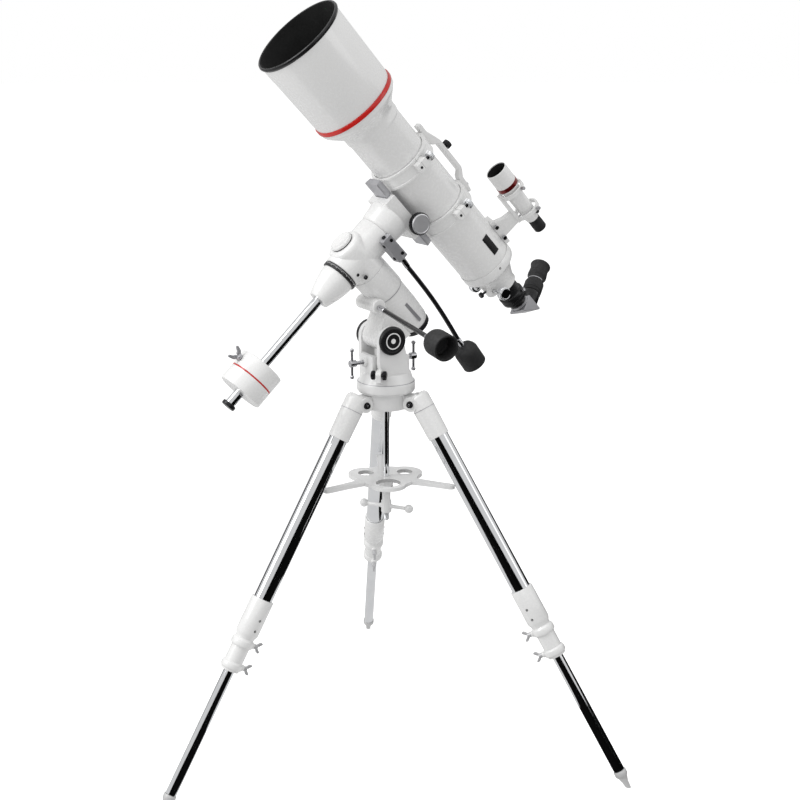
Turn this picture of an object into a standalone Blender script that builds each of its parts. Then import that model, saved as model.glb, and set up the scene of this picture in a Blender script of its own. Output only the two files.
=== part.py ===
"""A short refracting telescope on a German equatorial mount and a tubular tripod.

The model's unit is the metre, +Z is up, and the origin is on the floor under the middle of its box.
The polar axis lies in the XZ plane and points up and towards -X, which is the object's north.
Lengths below are in millimetres, and add() turns them into metres once, as each piece is placed.
Every piece is modelled in the coordinates of its own frame, an empty:
  tripod  at hinge height on the tripod's axis, turned with the legs
  leg     at a leg's hinge bolt, Z up along the leg, X outwards, Y along the bolt
  mount   at hinge height on the tripod's axis, not turned
  head    where the polar and declination axes cross: Z to the pole, X to the optical tube
  tube    on the optical axis, beside the head frame's origin
  finder  on the optical axis, with X towards the finder
  elbow   at the middle of the diagonal's mirror, X towards the eyepiece
"""

import math

import bmesh
import bpy
from mathutils import Matrix, Vector

MM = 0.001
GAP = 0.3

# Tripod
HINGE_HEIGHT = 748.0
BOLT_RADIUS_OUT = 62.4
BOLT_DROP = 6.3
LEG_ANGLE = math.radians(31.4)
TRIPOD_TURN = math.radians(4.7)
LEG_DIRECTIONS = {"north": 180.0, "west": 300.0, "east": 60.0}
LEG_OFFSET = 12.0
LEG_SIDES = 14
UPPER_TUBE_RADIUS = 19.0
LOWER_TUBE_RADIUS = 11.0
BRACKET_END = -82.0
COLLAR_TOP = -426.0
COLLAR_SHOULDER = -500.0
COLLAR_END = -577.0
LOWER_TUBE_TOP = -302.0
LOWER_TUBE_END = -838.0
FOOT_END = -882.0
LEG_SCREW_Z = -519.0
EAR_INNER = 16.0
EAR_OUTER = 22.5
TRAY_TOP = -168.0
TRAY_ARM_REACH = 150.0
TRAY_HOLE_DISTANCE = 46.0
SPINDLE_RADIUS = 6.0

# Equatorial head
LATITUDE = math.radians(46.8)
CROSSING = Vector((-67.8, 0.0, 284.8))
PIVOT = Vector((-12.0, 0.0, 122.0))
FORK_INNER = 30.3
FORK_OUTER = 42.0
SCREW_HEIGHT = 75.0
AXIS_RADIUS = 38.0
RA_SEAM = 39.3
RA_END = 196.0
DEC_SEAM = 66.3
WEIGHT_CENTRE = -310.0
WEIGHT_RADIUS = 45.0
SHAFT_RADIUS = 10.0
SHAFT_END = -371.0
KNOB_RADIUS = 25.0

# Optical tube
TUBE_DISTANCE = 197.0
TUBE_RADIUS = 56.5
TUBE_SIDES = 24
TUBE_BACK = -240.0
SHIELD_BACK = 212.0
SHIELD_FRONT = 381.0
SHIELD_RADIUS = 87.5
RING_PLACES = {"front": 56.0, "rear": -75.0}
RING_WIDTH = 30.0
RING_INNER = 57.0
RING_OUTER = 63.5
DRAW_RADIUS = 24.4
FOCUS_SHAFT_X = -31.0
FOCUS_SHAFT_Z = -283.0
ELBOW_Z = -385.0
ELBOW_ROLL = math.radians(28.0)
FINDER_ANGLE = math.radians(-15.3)
FINDER_DISTANCE = 132.7
FINDER_FRONT = -93.0

WHITE = ("white_enamel", (0.86, 0.86, 0.85), 0.25, 0.0)
BLACK = ("black_plastic", (0.02, 0.02, 0.022), 0.4, 0.0)
CHROME = ("chrome", (0.75, 0.76, 0.78), 0.12, 1.0)
STEEL = ("steel", (0.6, 0.61, 0.63), 0.3, 1.0)
RUBBER = ("rubber", (0.03, 0.03, 0.03), 0.8, 0.0)
GLASS = ("coated_glass", (0.12, 0.2, 0.16), 0.05, 0.0)
GREY = ("grey_casting", (0.62, 0.62, 0.64), 0.35, 0.6)

UP = (0.0, 0.0, 1.0)
ALONG_X = (1.0, 0.0, 0.0)
ALONG_Y = (0.0, 1.0, 0.0)


def clear_scene():
    """Remove what a new file holds."""
    for thing in list(bpy.data.objects):
        bpy.data.objects.remove(thing, do_unlink=True)


def material(finish):
    """Return the named material, made on its first use."""
    name, colour, roughness, metallic = finish
    found = bpy.data.materials.get(name)
    if found:
        return found
    made = bpy.data.materials.new(name)
    made.use_nodes = True
    shader = made.node_tree.nodes["Principled BSDF"]
    shader.inputs["Base Color"].default_value = (*colour, 1.0)
    shader.inputs["Roughness"].default_value = roughness
    shader.inputs["Metallic"].default_value = metallic
    return made


def frame(name, parent=None, at=(0.0, 0.0, 0.0), turn=(0.0, 0.0, 0.0)):
    """Add an empty that pieces are modelled in, with its place in millimetres."""
    empty = bpy.data.objects.new(name, None)
    bpy.context.collection.objects.link(empty)
    empty.parent = parent
    empty.location = Vector(at) * MM
    empty.rotation_euler = turn
    return empty


def to_object(bm):
    """Turn a bmesh into a loose object whose faces point out."""
    bmesh.ops.remove_doubles(bm, verts=bm.verts, dist=0.001)
    bmesh.ops.recalc_face_normals(bm, faces=bm.faces)
    mesh = bpy.data.meshes.new("shape")
    bm.to_mesh(mesh)
    bm.free()
    thing = bpy.data.objects.new("shape", mesh)
    bpy.context.collection.objects.link(thing)
    return thing


def aimed(at, towards):
    """Return the matrix that carries a shape's own Z to a direction, at a place."""
    turn = Vector(towards).to_track_quat("Z", "Y").to_matrix().to_4x4()
    return Matrix.Translation(Vector(at)) @ turn


def lathe(profile, sides=16, at=(0.0, 0.0, 0.0), towards=UP):
    """Turn a closed outline of (radius, height) points about an axis."""
    bm = bmesh.new()
    points = [bm.verts.new((radius, 0.0, height)) for radius, height in profile]
    pairs = zip(points, points[1:] + points[:1])
    edges = [bm.edges.new(pair) for pair in pairs if pair[0].co.x + pair[1].co.x > 0.0]
    bmesh.ops.spin(bm, geom=points + edges, axis=UP, cent=(0.0, 0.0, 0.0),
                   angle=math.tau, steps=sides)
    bm.transform(aimed(at, towards))
    return to_object(bm)


def rod(start, end, radius, sides=10):
    """A round bar between two points."""
    length = (Vector(end) - Vector(start)).length
    profile = [(0.0, 0.0), (radius, 0.0), (radius, length), (0.0, length)]
    return lathe(profile, sides, start, Vector(end) - Vector(start))


def brick(low, high):
    """A box between two opposite corners."""
    bm = bmesh.new()
    bmesh.ops.create_cube(bm, size=1.0)
    low, high = Vector(low), Vector(high)
    size = Matrix.Diagonal((*(high - low), 1.0))
    bm.transform(Matrix.Translation((low + high) / 2) @ size)
    return to_object(bm)


def plate(outline, low, high, along=UP):
    """Extrude an outline of (x, y) points from low to high, along Z or along Y (points x, z)."""
    bm = bmesh.new()
    if along == UP:
        ring = [bm.verts.new((x, y, low)) for x, y in outline]
        step = Vector((0.0, 0.0, high - low))
    else:
        ring = [bm.verts.new((x, low, z)) for x, z in outline]
        step = Vector((0.0, high - low, 0.0))
    face = bm.faces.new(ring)
    moved = bmesh.ops.extrude_face_region(bm, geom=[face])["geom"]
    bmesh.ops.translate(bm, verts=[v for v in moved if isinstance(v, bmesh.types.BMVert)], vec=step)
    return to_object(bm)


def arc(radius, start, end, count, centre=(0.0, 0.0)):
    """Points along a circle, from one angle in degrees to another."""
    angles = [math.radians(start + (end - start) * i / (count - 1)) for i in range(count)]
    return [(centre[0] + radius * math.cos(a), centre[1] + radius * math.sin(a)) for a in angles]


def combine(base, others, operation):
    """Apply exact Booleans to a base shape and drop the other shapes."""
    for other in others:
        step = base.modifiers.new("step", "BOOLEAN")
        step.operation = operation
        step.solver = "EXACT"
        step.object = other
        bpy.context.view_layer.update()
        result = base.evaluated_get(bpy.context.evaluated_depsgraph_get())
        mesh = bpy.data.meshes.new_from_object(result)
        base.modifiers.clear()
        base.data = mesh
        bpy.data.objects.remove(other, do_unlink=True)
    return base


def joined(*shapes):
    """Union of several shapes."""
    return combine(shapes[0], shapes[1:], "UNION")


def cut(base, *cutters):
    """A shape with others taken out of it."""
    return combine(base, cutters, "DIFFERENCE")


def add(name, shape, finish, parent, origin=(0.0, 0.0, 0.0)):
    """Name a finished shape, put its origin on its joint's axis and parent it to its frame."""
    shape.data.transform(Matrix.Translation(-Vector(origin)))
    shape.data.transform(Matrix.Scale(MM, 4))
    shape.name = name
    shape.data.name = name
    shape.data.materials.clear()
    shape.data.materials.append(material(finish))
    shape.data.shade_smooth()
    shape.data.set_sharp_from_angle(angle=math.radians(35.0))
    shape.parent = parent
    shape.location = Vector(origin) * MM
    return shape


# ---------------------------------------------------------------- tripod

def make_hub(tripod, leg_turns):
    """The head casting, with one lug for each leg."""
    hub = lathe([(0.0, -22.0), (43.0, -22.0), (47.0, -17.0), (47.0, 11.0),
                 (56.0, 11.6), (56.0, 14.0), (0.0, 14.0)], 24)
    for turn in leg_turns:
        direction = Vector((math.cos(turn), math.sin(turn), 0.0))
        sideways = Vector((-direction.y, direction.x, 0.0))
        centre = direction * BOLT_RADIUS_OUT - Vector((0.0, 0.0, BOLT_DROP))
        nose = arc(14.0, -90.0, 90.0, 9, (BOLT_RADIUS_OUT, -BOLT_DROP))
        lug = plate([(34.0, -BOLT_DROP - 14.0)] + nose + [(34.0, 14.0 - BOLT_DROP)],
                    -15.5, 15.5, ALONG_Y)
        lug.data.transform(Matrix.Rotation(turn, 4, "Z"))
        hub = cut(joined(hub, lug), rod(centre - sideways * 20.0, centre + sideways * 20.0, 4.4))
    add("tripod_hub", hub, WHITE, tripod)


def make_spreader(tripod, leg_turns):
    """The threaded spindle, the tray with its three arms, and the nut with its cross handle."""
    add("spindle_rod", rod((0.0, 0.0, -22.0 - GAP), (0.0, 0.0, -262.0), SPINDLE_RADIUS, 12),
        CHROME, tripod)
    bottom = TRAY_TOP - 6.0
    outline = []
    cutters = []
    for turn, hole_radius in zip(leg_turns, (25.0, 16.0, 16.0)):
        tip = TRAY_ARM_REACH
        arm = [(64.0, -11.0), (tip - 4.0, -8.5), (tip, 0.0), (tip - 4.0, 8.5), (64.0, 11.0)]
        lobe_turn = math.radians(60.0)
        lobe_centre = (TRAY_HOLE_DISTANCE * math.cos(lobe_turn), TRAY_HOLE_DISTANCE * math.sin(lobe_turn))
        lobe = arc(36.0, -15.0, 135.0, 11, lobe_centre)
        spin = Matrix.Rotation(turn, 3, "Z")
        outline += [tuple((spin @ Vector((x, y, 0.0))).xy) for x, y in arm + lobe]
        hole = spin @ Vector((*lobe_centre, 0.0))
        cutters.append(rod((hole.x, hole.y, bottom - 9.0), (hole.x, hole.y, TRAY_TOP + 9.0),
                           hole_radius))
    tray = joined(plate(outline, bottom - 2.0, TRAY_TOP),
                  rod((0.0, 0.0, bottom - 15.0), (0.0, 0.0, TRAY_TOP - 3.0), 14.0))
    cutters.append(rod((0.0, 0.0, bottom - 30.0), (0.0, 0.0, TRAY_TOP + 9.0),
                       SPINDLE_RADIUS + GAP, 12))
    add("accessory_tray", cut(tray, *cutters), WHITE, tripod)

    nut_top = bottom - 15.0 - GAP
    bar_height = -233.0
    nut = lathe([(SPINDLE_RADIUS + GAP, nut_top), (SPINDLE_RADIUS + GAP, -246.0), (10.5, -246.0),
                 (10.5, -222.0), (8.5, -218.0), (8.5, nut_top - 9.0), (14.0, nut_top - 8.0),
                 (14.0, nut_top)], 14)
    for side in (1.0, -1.0):
        arm = rod((side * 8.8, 0.0, bar_height), (side * 44.0, 0.0, bar_height), 4.0, 10)
        ball = lathe([(0.0, -9.0), (6.5, -6.5), (9.0, 0.0), (6.5, 6.5), (0.0, 9.0)], 10,
                     (side * 50.0, 0.0, bar_height), ALONG_X)
        nut = joined(nut, arm, ball)
    nut.data.transform(Matrix.Rotation(math.radians(-54.0) - TRIPOD_TURN, 4, "Z"))
    add("spreader_nut_handle", nut, WHITE, tripod)


def make_bracket():
    """A leg's top fitting: a socket for the tube that opens into two ears around the hub's lug."""
    axis = (LEG_OFFSET, 0.0, 0.0)
    bore = UPPER_TUBE_RADIUS + GAP
    shell = lathe([(bore, BRACKET_END), (21.5, BRACKET_END), (EAR_OUTER, -20.0), (EAR_OUTER, 4.0),
                   (18.0, 12.0), (0.0, 15.0), (0.0, -26.0), (bore, -26.0)], LEG_SIDES, axis)
    for side in (1.0, -1.0):
        ear = rod((0.0, side * (EAR_INNER - 2.0), 0.0), (0.0, side * (EAR_OUTER + 0.5), 0.0), 15.0, 12)
        shell = joined(shell, ear)
    slot = brick((-40.0, -EAR_INNER, -18.0), (24.0, EAR_INNER, 40.0))
    hole = rod((0.0, -40.0, 0.0), (0.0, 40.0, 0.0), 4.4, 8)
    return cut(shell, slot, hole)


def make_collar():
    """The lock collar at the foot of the upper tube, with its two raised bands."""
    outer = [(23.0, COLLAR_TOP), (23.0, COLLAR_SHOULDER), (19.0, -509.0), (22.8, -514.0),
             (22.8, -523.0), (18.5, -526.0), (18.5, -559.0), (22.0, -562.0), (22.0, -571.0),
             (18.0, COLLAR_END)]
    inner = [(LOWER_TUBE_RADIUS + GAP, COLLAR_END), (LOWER_TUBE_RADIUS + GAP, COLLAR_SHOULDER - 1.0),
             (UPPER_TUBE_RADIUS + GAP, COLLAR_SHOULDER - 1.0), (UPPER_TUBE_RADIUS + GAP, COLLAR_TOP)]
    collar = lathe(outer + inner, LEG_SIDES, (LEG_OFFSET, 0.0, 0.0))
    return cut(collar, rod((LEG_OFFSET - 5.0, 0.0, LEG_SCREW_Z), (LEG_OFFSET - 40.0, 0.0, LEG_SCREW_Z),
                           3.3, 8))


def make_leg(name, leg):
    """One leg: bracket, hinge bolt, two tubes, collar, lock screw and foot."""
    add(f"{name}_leg_bracket", make_bracket(), WHITE, leg)
    bolt = lathe([(0.0, -29.0), (6.5, -29.0), (7.0, -28.0), (7.0, -23.0), (4.0, -23.0),
                  (4.0, 23.0), (7.0, 23.0), (7.0, 28.0), (6.5, 29.0), (0.0, 29.0)], 10,
                 (0.0, 0.0, 0.0), ALONG_Y)
    add(f"{name}_hinge_bolt", bolt, STEEL, leg)
    wall = UPPER_TUBE_RADIUS - 1.8
    upper = lathe([(wall, -26.0 - GAP), (wall, COLLAR_SHOULDER), (UPPER_TUBE_RADIUS, COLLAR_SHOULDER),
                   (UPPER_TUBE_RADIUS, -26.0 - GAP)], LEG_SIDES, (LEG_OFFSET, 0.0, 0.0))
    add(f"{name}_upper_leg_tube", upper, CHROME, leg)
    add(f"{name}_leg_collar", make_collar(), WHITE, leg)
    tube = lathe([(LOWER_TUBE_RADIUS - 2.0, LOWER_TUBE_TOP), (LOWER_TUBE_RADIUS - 2.0, LOWER_TUBE_END),
                  (LOWER_TUBE_RADIUS, LOWER_TUBE_END), (LOWER_TUBE_RADIUS, LOWER_TUBE_TOP)], LEG_SIDES,
                 (LEG_OFFSET, 0.0, 0.0))
    add(f"{name}_lower_leg_tube", tube, CHROME, leg)
    start = LEG_OFFSET - 11.6
    stem = lathe([(0.0, 0.0), (3.0, 0.0), (3.0, 18.0), (5.0, 18.5), (5.0, 25.0), (0.0, 25.0)], 10,
                 (start, 0.0, LEG_SCREW_Z), (-1.0, 0.0, 0.0))
    wing = plate([(start - 22.0, LEG_SCREW_Z + 4.0), (start - 28.0, LEG_SCREW_Z + 10.0),
                  (start - 36.0, LEG_SCREW_Z + 11.0), (start - 30.0, LEG_SCREW_Z),
                  (start - 36.0, LEG_SCREW_Z - 11.0), (start - 28.0, LEG_SCREW_Z - 10.0),
                  (start - 22.0, LEG_SCREW_Z - 4.0)], -2.5, 2.5, ALONG_Y)
    add(f"{name}_leg_screw", joined(stem, wing), STEEL, leg, (start, 0.0, LEG_SCREW_Z))
    make_foot(name, leg)


def make_foot(name, leg):
    """A foot: a ferrule under the tube that narrows to a blunt tip, cut flat at the floor."""
    foot = lathe([(0.0, FOOT_END), (4.6, FOOT_END), (6.2, FOOT_END + 17.0), (10.5, FOOT_END + 30.0),
                  (13.0, FOOT_END + 34.0), (13.0, LOWER_TUBE_END - GAP), (0.0, LOWER_TUBE_END - GAP)], 14,
                 (LEG_OFFSET, 0.0, 0.0))
    floor_below = HINGE_HEIGHT - BOLT_DROP
    slab = brick((200.0, -60.0, -floor_below - 50.0), (800.0, 60.0, -floor_below))
    slab.data.transform(Matrix.Rotation(LEG_ANGLE, 4, "Y"))
    add(f"{name}_foot_tip", cut(foot, slab), GREY, leg)


# ---------------------------------------------------------------- equatorial head

def head_point(x, y, z):
    """A head-frame point in the mount frame's coordinates."""
    across = Vector((math.sin(LATITUDE), 0.0, math.cos(LATITUDE)))
    pole = Vector((-math.cos(LATITUDE), 0.0, math.sin(LATITUDE)))
    return CROSSING + across * x + Vector((0.0, y, 0.0)) + pole * z


def make_azimuth_base(mount):
    """The turning base with its fork, and the walls that carry the latitude screws."""
    base = lathe([(0.0, 14.0 + GAP), (57.0, 14.0 + GAP), (58.5, 16.0), (58.5, 31.0), (56.0, 34.0),
                  (48.0, 52.0), (0.0, 52.0)], 28)
    side = [(-34.0, 45.0), (30.0, 45.0), (24.0, 80.0)]
    side += arc(27.0, 0.0, 180.0, 9, (PIVOT.x, PIVOT.z))
    side += [(-39.0, 80.0)]
    cheeks = [plate(side, FORK_INNER, FORK_OUTER, ALONG_Y), plate(side, -FORK_OUTER, -FORK_INNER, ALONG_Y)]
    north_wall = brick((-46.0, -26.0, 45.0), (-36.0, 26.0, 90.0))
    south_wall = brick((26.0, -31.0, 45.0), (36.0, 31.0, 86.0))
    angle = math.radians(226.6)
    screw_line = Vector((math.cos(angle), math.sin(angle), 0.0)) * 61.0 + Vector((0.0, 0.0, 56.5))
    lug = brick((-12.0, -5.5, -20.0), (8.0, 5.5, 9.0))
    lug.data.transform(Matrix.Translation(screw_line) @ Matrix.Rotation(angle, 4, "Z"))
    base = joined(base, *cheeks, north_wall, south_wall, lug)
    tangent = Vector((-math.sin(angle), math.cos(angle), 0.0))
    base = cut(base,
               rod((-60.0, 0.0, SCREW_HEIGHT), (60.0, 0.0, SCREW_HEIGHT), 4.4),
               rod((PIVOT.x, -60.0, PIVOT.z), (PIVOT.x, 60.0, PIVOT.z), 7.0 + GAP, 12),
               rod(screw_line - tangent * 20.0, screw_line + tangent * 20.0, 3.3, 8))
    add("azimuth_base", base, WHITE, mount)
    for name, sign in (("west", -1.0), ("north", 1.0)):
        outwards = tangent * sign
        knob = lathe([(0.0, 0.8), (3.0, 0.8), (3.0, 7.5), (8.5, 8.0), (9.0, 9.0), (9.0, 15.0),
                      (8.0, 16.0), (0.0, 16.0)], 10, screw_line, outwards)
        add(f"{name}_azimuth_screw", knob, BLACK, mount, screw_line)


def make_latitude_screws(mount):
    """The two T screws that push on the tongue of the polar housing."""
    for name, tip, head in (("north", -20.6, -77.0), ("south", -3.4, 64.0)):
        outwards = 1.0 if head > tip else -1.0
        reach = abs(head - tip)
        tee = lathe([(0.0, 0.0), (2.5, 0.0), (4.0, 3.0), (4.0, reach - 8.0), (7.0, reach - 8.0),
                     (7.0, reach + 5.0), (0.0, reach + 5.0)], 10, (tip, 0.0, SCREW_HEIGHT),
                    (outwards, 0.0, 0.0))
        bar = lathe([(0.0, -31.0), (3.6, -29.5), (4.5, -27.0), (2.5, -23.5), (2.5, 23.5),
                     (4.5, 27.0), (3.6, 29.5), (0.0, 31.0)], 8, (head, 0.0, SCREW_HEIGHT))
        tee = joined(tee, bar)
        add(f"{name}_latitude_screw", tee, STEEL, mount, (head, 0.0, SCREW_HEIGHT))


def make_polar_housing(mount):
    """The polar housing, its worm barrel, the lug that hangs in the fork and the tongue below."""
    towards_floor = head_point(0, 0, -1) - head_point(0, 0, 0)
    body = lathe([(0.0, RA_SEAM), (AXIS_RADIUS + 0.5, RA_SEAM), (AXIS_RADIUS + 0.5, 96.0),
                  (36.5, 99.0), (35.0, 150.0), (32.0, 188.0), (29.0, RA_END), (0.0, RA_END)],
                 22, CROSSING, towards_floor)
    worm_start = head_point(-42, -42, -88)
    worm_end = head_point(-42, 30, -88)
    worm = rod(worm_start, worm_end, 14.0, 14)
    low = head_point(-30, 0, -190)
    high = head_point(-30, 0, -112)
    swing = arc(25.0, 150.0, 330.0, 9, (PIVOT.x, PIVOT.z))
    lug = plate([(high.x, high.z)] + swing + [(low.x, low.z)],
                -FORK_INNER + 0.6, FORK_INNER - 0.6, ALONG_Y)
    tongue = brick((PIVOT.x - 7.6, -12.0, SCREW_HEIGHT - 10.0), (PIVOT.x + 7.6, 12.0, PIVOT.z))
    body = joined(body, worm, lug, tongue)
    body = cut(body, rod((PIVOT.x, -60.0, PIVOT.z), (PIVOT.x, 60.0, PIVOT.z), 7.0 + GAP, 12))
    add("polar_housing", body, WHITE, mount, PIVOT)
    cap = lathe([(0.0, RA_END + GAP), (29.5, RA_END + GAP), (29.5, 203.0), (26.0, 208.0), (0.0, 208.0)],
                20, CROSSING, towards_floor)
    add("polar_scope_cap", cap, BLACK, mount)
    pin = lathe([(0.0, -50.5), (26.0, -50.5), (28.5, -48.0), (28.5, -42.3), (7.0, -42.3),
                 (7.0, 42.3), (28.5, 42.3), (28.5, 48.0), (26.0, 50.5), (0.0, 50.5)], 22,
                PIVOT, ALONG_Y)
    add("latitude_pivot", pin, BLACK, mount, PIVOT)


def make_dec_housing(head):
    """The declination housing, which turns about the polar axis, and what is fixed to it."""
    across = lathe([(0.0, -42.5), (36.5, -42.5), (AXIS_RADIUS, -39.0), (AXIS_RADIUS, DEC_SEAM - 2.0),
                    (36.0, DEC_SEAM), (0.0, DEC_SEAM)], 22, (0.0, 0.0, 0.0), ALONG_X)
    upright = lathe([(0.0, -RA_SEAM + GAP), (AXIS_RADIUS + 0.5, -RA_SEAM + GAP), (AXIS_RADIUS + 0.5, -20.0),
                     (AXIS_RADIUS - 0.5, 30.0), (33.0, 40.0), (0.0, 40.0)], 22)
    block = brick((44.0, -53.0, -55.0), (DEC_SEAM, -28.0, 2.0))
    add("dec_housing", joined(across, upright, block), WHITE, head)
    cap = lathe([(0.0, 40.0 + GAP), (22.0, 40.0 + GAP), (23.0, 41.5), (23.0, 46.0), (21.0, 48.5),
                 (0.0, 48.5)], 20)
    add("polar_window_cap", cap, WHITE, head)
    circle = lathe([(0.0, -51.5), (36.0, -51.5), (36.8, -50.5), (36.8, -44.0), (36.0, -42.5 - GAP),
                    (0.0, -42.5 - GAP)], 24, (0.0, 0.0, 0.0), ALONG_X)
    add("dec_setting_circle", circle, BLACK, head)
    outside = [(23.0, -108.0), (29.0, -88.0), (33.0, -68.0), (34.0, -51.5 - GAP)]
    cone = lathe([(SHAFT_RADIUS + GAP, -112.0), (20.0, -112.0)] + outside
                 + [(0.0, -51.5 - GAP), (0.0, -90.0), (SHAFT_RADIUS + GAP, -90.0)],
                 20, (0.0, 0.0, 0.0), ALONG_X)
    add("shaft_cone", cone, WHITE, head)
    shaft = lathe([(0.0, SHAFT_END - 8.0), (12.5, SHAFT_END - 8.0), (14.0, SHAFT_END - 6.0),
                   (14.0, SHAFT_END), (SHAFT_RADIUS, SHAFT_END), (SHAFT_RADIUS, -90.0 - GAP),
                   (0.0, -90.0 - GAP)], 16, (0.0, 0.0, 0.0), ALONG_X)
    add("counterweight_shaft", shaft, CHROME, head)


def make_counterweight(head):
    """The sliding weight and the wing screw that locks it."""
    near, far = WEIGHT_CENTRE - 34.0, WEIGHT_CENTRE + 34.0
    bore = SHAFT_RADIUS + 0.4
    weight = lathe([(bore, near), (WEIGHT_RADIUS - 2.0, near), (WEIGHT_RADIUS, near + 2.0),
                    (WEIGHT_RADIUS, far - 2.0), (WEIGHT_RADIUS - 2.0, far), (bore, far)],
                   24, (0.0, 0.0, 0.0), ALONG_X)
    x = WEIGHT_CENTRE + 14.0
    weight = cut(weight, rod((x, 0.0, 0.0), (x, 0.0, 60.0), 4.4, 8))
    add("counterweight", weight, WHITE, head)
    stem = lathe([(0.0, 10.9), (4.0, 10.9), (4.0, 46.0), (7.0, 46.5), (7.0, 53.0), (0.0, 53.0)], 10,
                 (x, 0.0, 0.0))
    wing = plate([(x - 14.0, 68.0), (x - 13.0, 61.0), (x - 5.0, 50.0), (x + 5.0, 50.0),
                  (x + 13.0, 61.0), (x + 14.0, 68.0), (x + 4.0, 62.0), (x - 4.0, 62.0)],
                 -3.0, 3.0, ALONG_Y)
    screw = joined(stem, wing)
    add("counterweight_screw", screw, WHITE, head, (x, 0.0, 50.0))


def control_shaft(start, end):
    """A slow-motion shaft with its knob: metal ferrules, a covered rod and a cupped knob."""
    start, end = Vector(start), Vector(end)
    length = (end - start).length
    knob = 52.0
    rim = KNOB_RADIUS
    profile = [(0.0, 0.0), (5.8, 0.0), (5.8, 22.0), (4.8, 24.0), (4.8, length - knob - 20.0),
               (5.8, length - knob - 18.0), (5.8, length - knob), (rim - 6.0, length - knob + 2.0),
               (rim, length - knob + 14.0), (rim, length), (rim - 4.0, length),
               (rim - 5.0, length - 30.0), (0.0, length - 30.0)]
    return lathe(profile, 16, start, end - start)


def make_saddle(head):
    """The head that turns about the declination axis, its dovetail seat and its clamp knob."""
    neck = lathe([(0.0, DEC_SEAM + GAP), (36.0, DEC_SEAM + GAP), (AXIS_RADIUS + 1.0, DEC_SEAM + 4.0),
                  (AXIS_RADIUS + 3.0, 92.0), (43.0, 101.0), (43.0, 111.0), (0.0, 111.0)],
                 22, (0.0, 0.0, 0.0), ALONG_X)
    seat = plate([(104.0, -35.0), (130.0, -35.0), (130.0, -22.7), (118.5, -22.7), (118.5, 22.7),
                  (130.0, 22.7), (130.0, 35.0), (104.0, 35.0)], -57.0, 41.0)
    saddle = joined(neck, seat)
    knob_x, knob_z = 124.3, -31.0
    saddle = cut(saddle, rod((knob_x, -22.0, knob_z), (knob_x, -50.0, knob_z), 4.4))
    add("saddle_head", saddle, WHITE, head)
    knob = lathe([(0.0, 23.0), (4.0, 23.0), (4.0, 44.0), (9.0, 45.0), (10.0, 49.0), (20.0, 50.0),
                  (22.0, 52.0), (22.0, 60.0), (20.0, 62.0), (0.0, 62.0)], 16,
                 (knob_x, 0.0, knob_z), (0.0, -1.0, 0.0))
    add("saddle_clamp_knob", knob, CHROME, head, (knob_x, 0.0, knob_z))


# ---------------------------------------------------------------- optical tube

def make_ring(name, z, tube):
    """One split cradle ring: lower half with foot and lug, upper half with lug and knuckle."""
    low, high = z - RING_WIDTH / 2, z + RING_WIDTH / 2
    split = 0.2
    lower = plate(arc(RING_OUTER, 90.2, 269.8, 17) + arc(RING_INNER, 269.8, 90.2, 17), low, high)
    foot = brick((-RING_OUTER - GAP, -18.0, low + 1.0), (-58.5, 18.0, high - 1.0))
    lug = brick((-11.0, -79.0, z - 9.0), (-split, -60.0, z + 9.0))
    strap = brick((-9.0, 60.0, z - 14.0), (-split, 66.0, z + 14.0))
    knuckles = [rod((0.0, 69.0, z + a), (0.0, 69.0, z + b), 4.5, 8) for a, b in ((-14.0, -5.3), (5.3, 14.0))]
    arms = [brick((-9.0, 65.0, z + a), (-split, 71.0, z + b)) for a, b in ((-14.0, -5.3), (5.3, 14.0))]
    lower = joined(lower, foot, lug, strap, *arms, *knuckles)
    relief = rod((0.0, 69.0, z - 5.0), (0.0, 69.0, z + 5.0), 5.5, 8)
    screw_hole = rod((-20.0, -71.0, z), (10.0, -71.0, z), 3.3, 8)
    add(f"{name}_ring_lower", cut(lower, relief, screw_hole), WHITE, tube)
    upper = plate(arc(RING_OUTER, -89.8, 89.8, 17) + arc(RING_INNER, 89.8, -89.8, 17), low, high)
    upper_lug = brick((split, -79.0, z - 9.0), (13.0, -60.0, z + 9.0))
    upper_arm = brick((split, 61.0, z - 4.5), (9.0, 71.0, z + 4.5))
    upper_knuckle = rod((0.0, 69.0, z - 4.7), (0.0, 69.0, z + 4.7), 4.5, 8)
    pad = brick((60.0, -10.0, low + 1.0), (RING_OUTER + 3.0, 10.0, high - 1.0))
    knob = lathe([(0.0, 12.0), (3.0, 12.0), (3.0, 20.0), (8.5, 20.0), (9.5, 21.0), (9.5, 29.0),
                  (8.5, 30.0), (0.0, 30.0)], 10, (0.0, -71.0, z), ALONG_X)
    upper = joined(upper, upper_lug, upper_arm, upper_knuckle, pad, knob)
    sides = [rod((0.0, 69.0, z + a), (0.0, 69.0, z + b), 5.2, 8) for a, b in ((-20.0, -5.0), (5.0, 20.0))]
    add(f"{name}_ring_upper", cut(upper, *sides), WHITE, tube, (0.0, 69.0, z))


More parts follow.
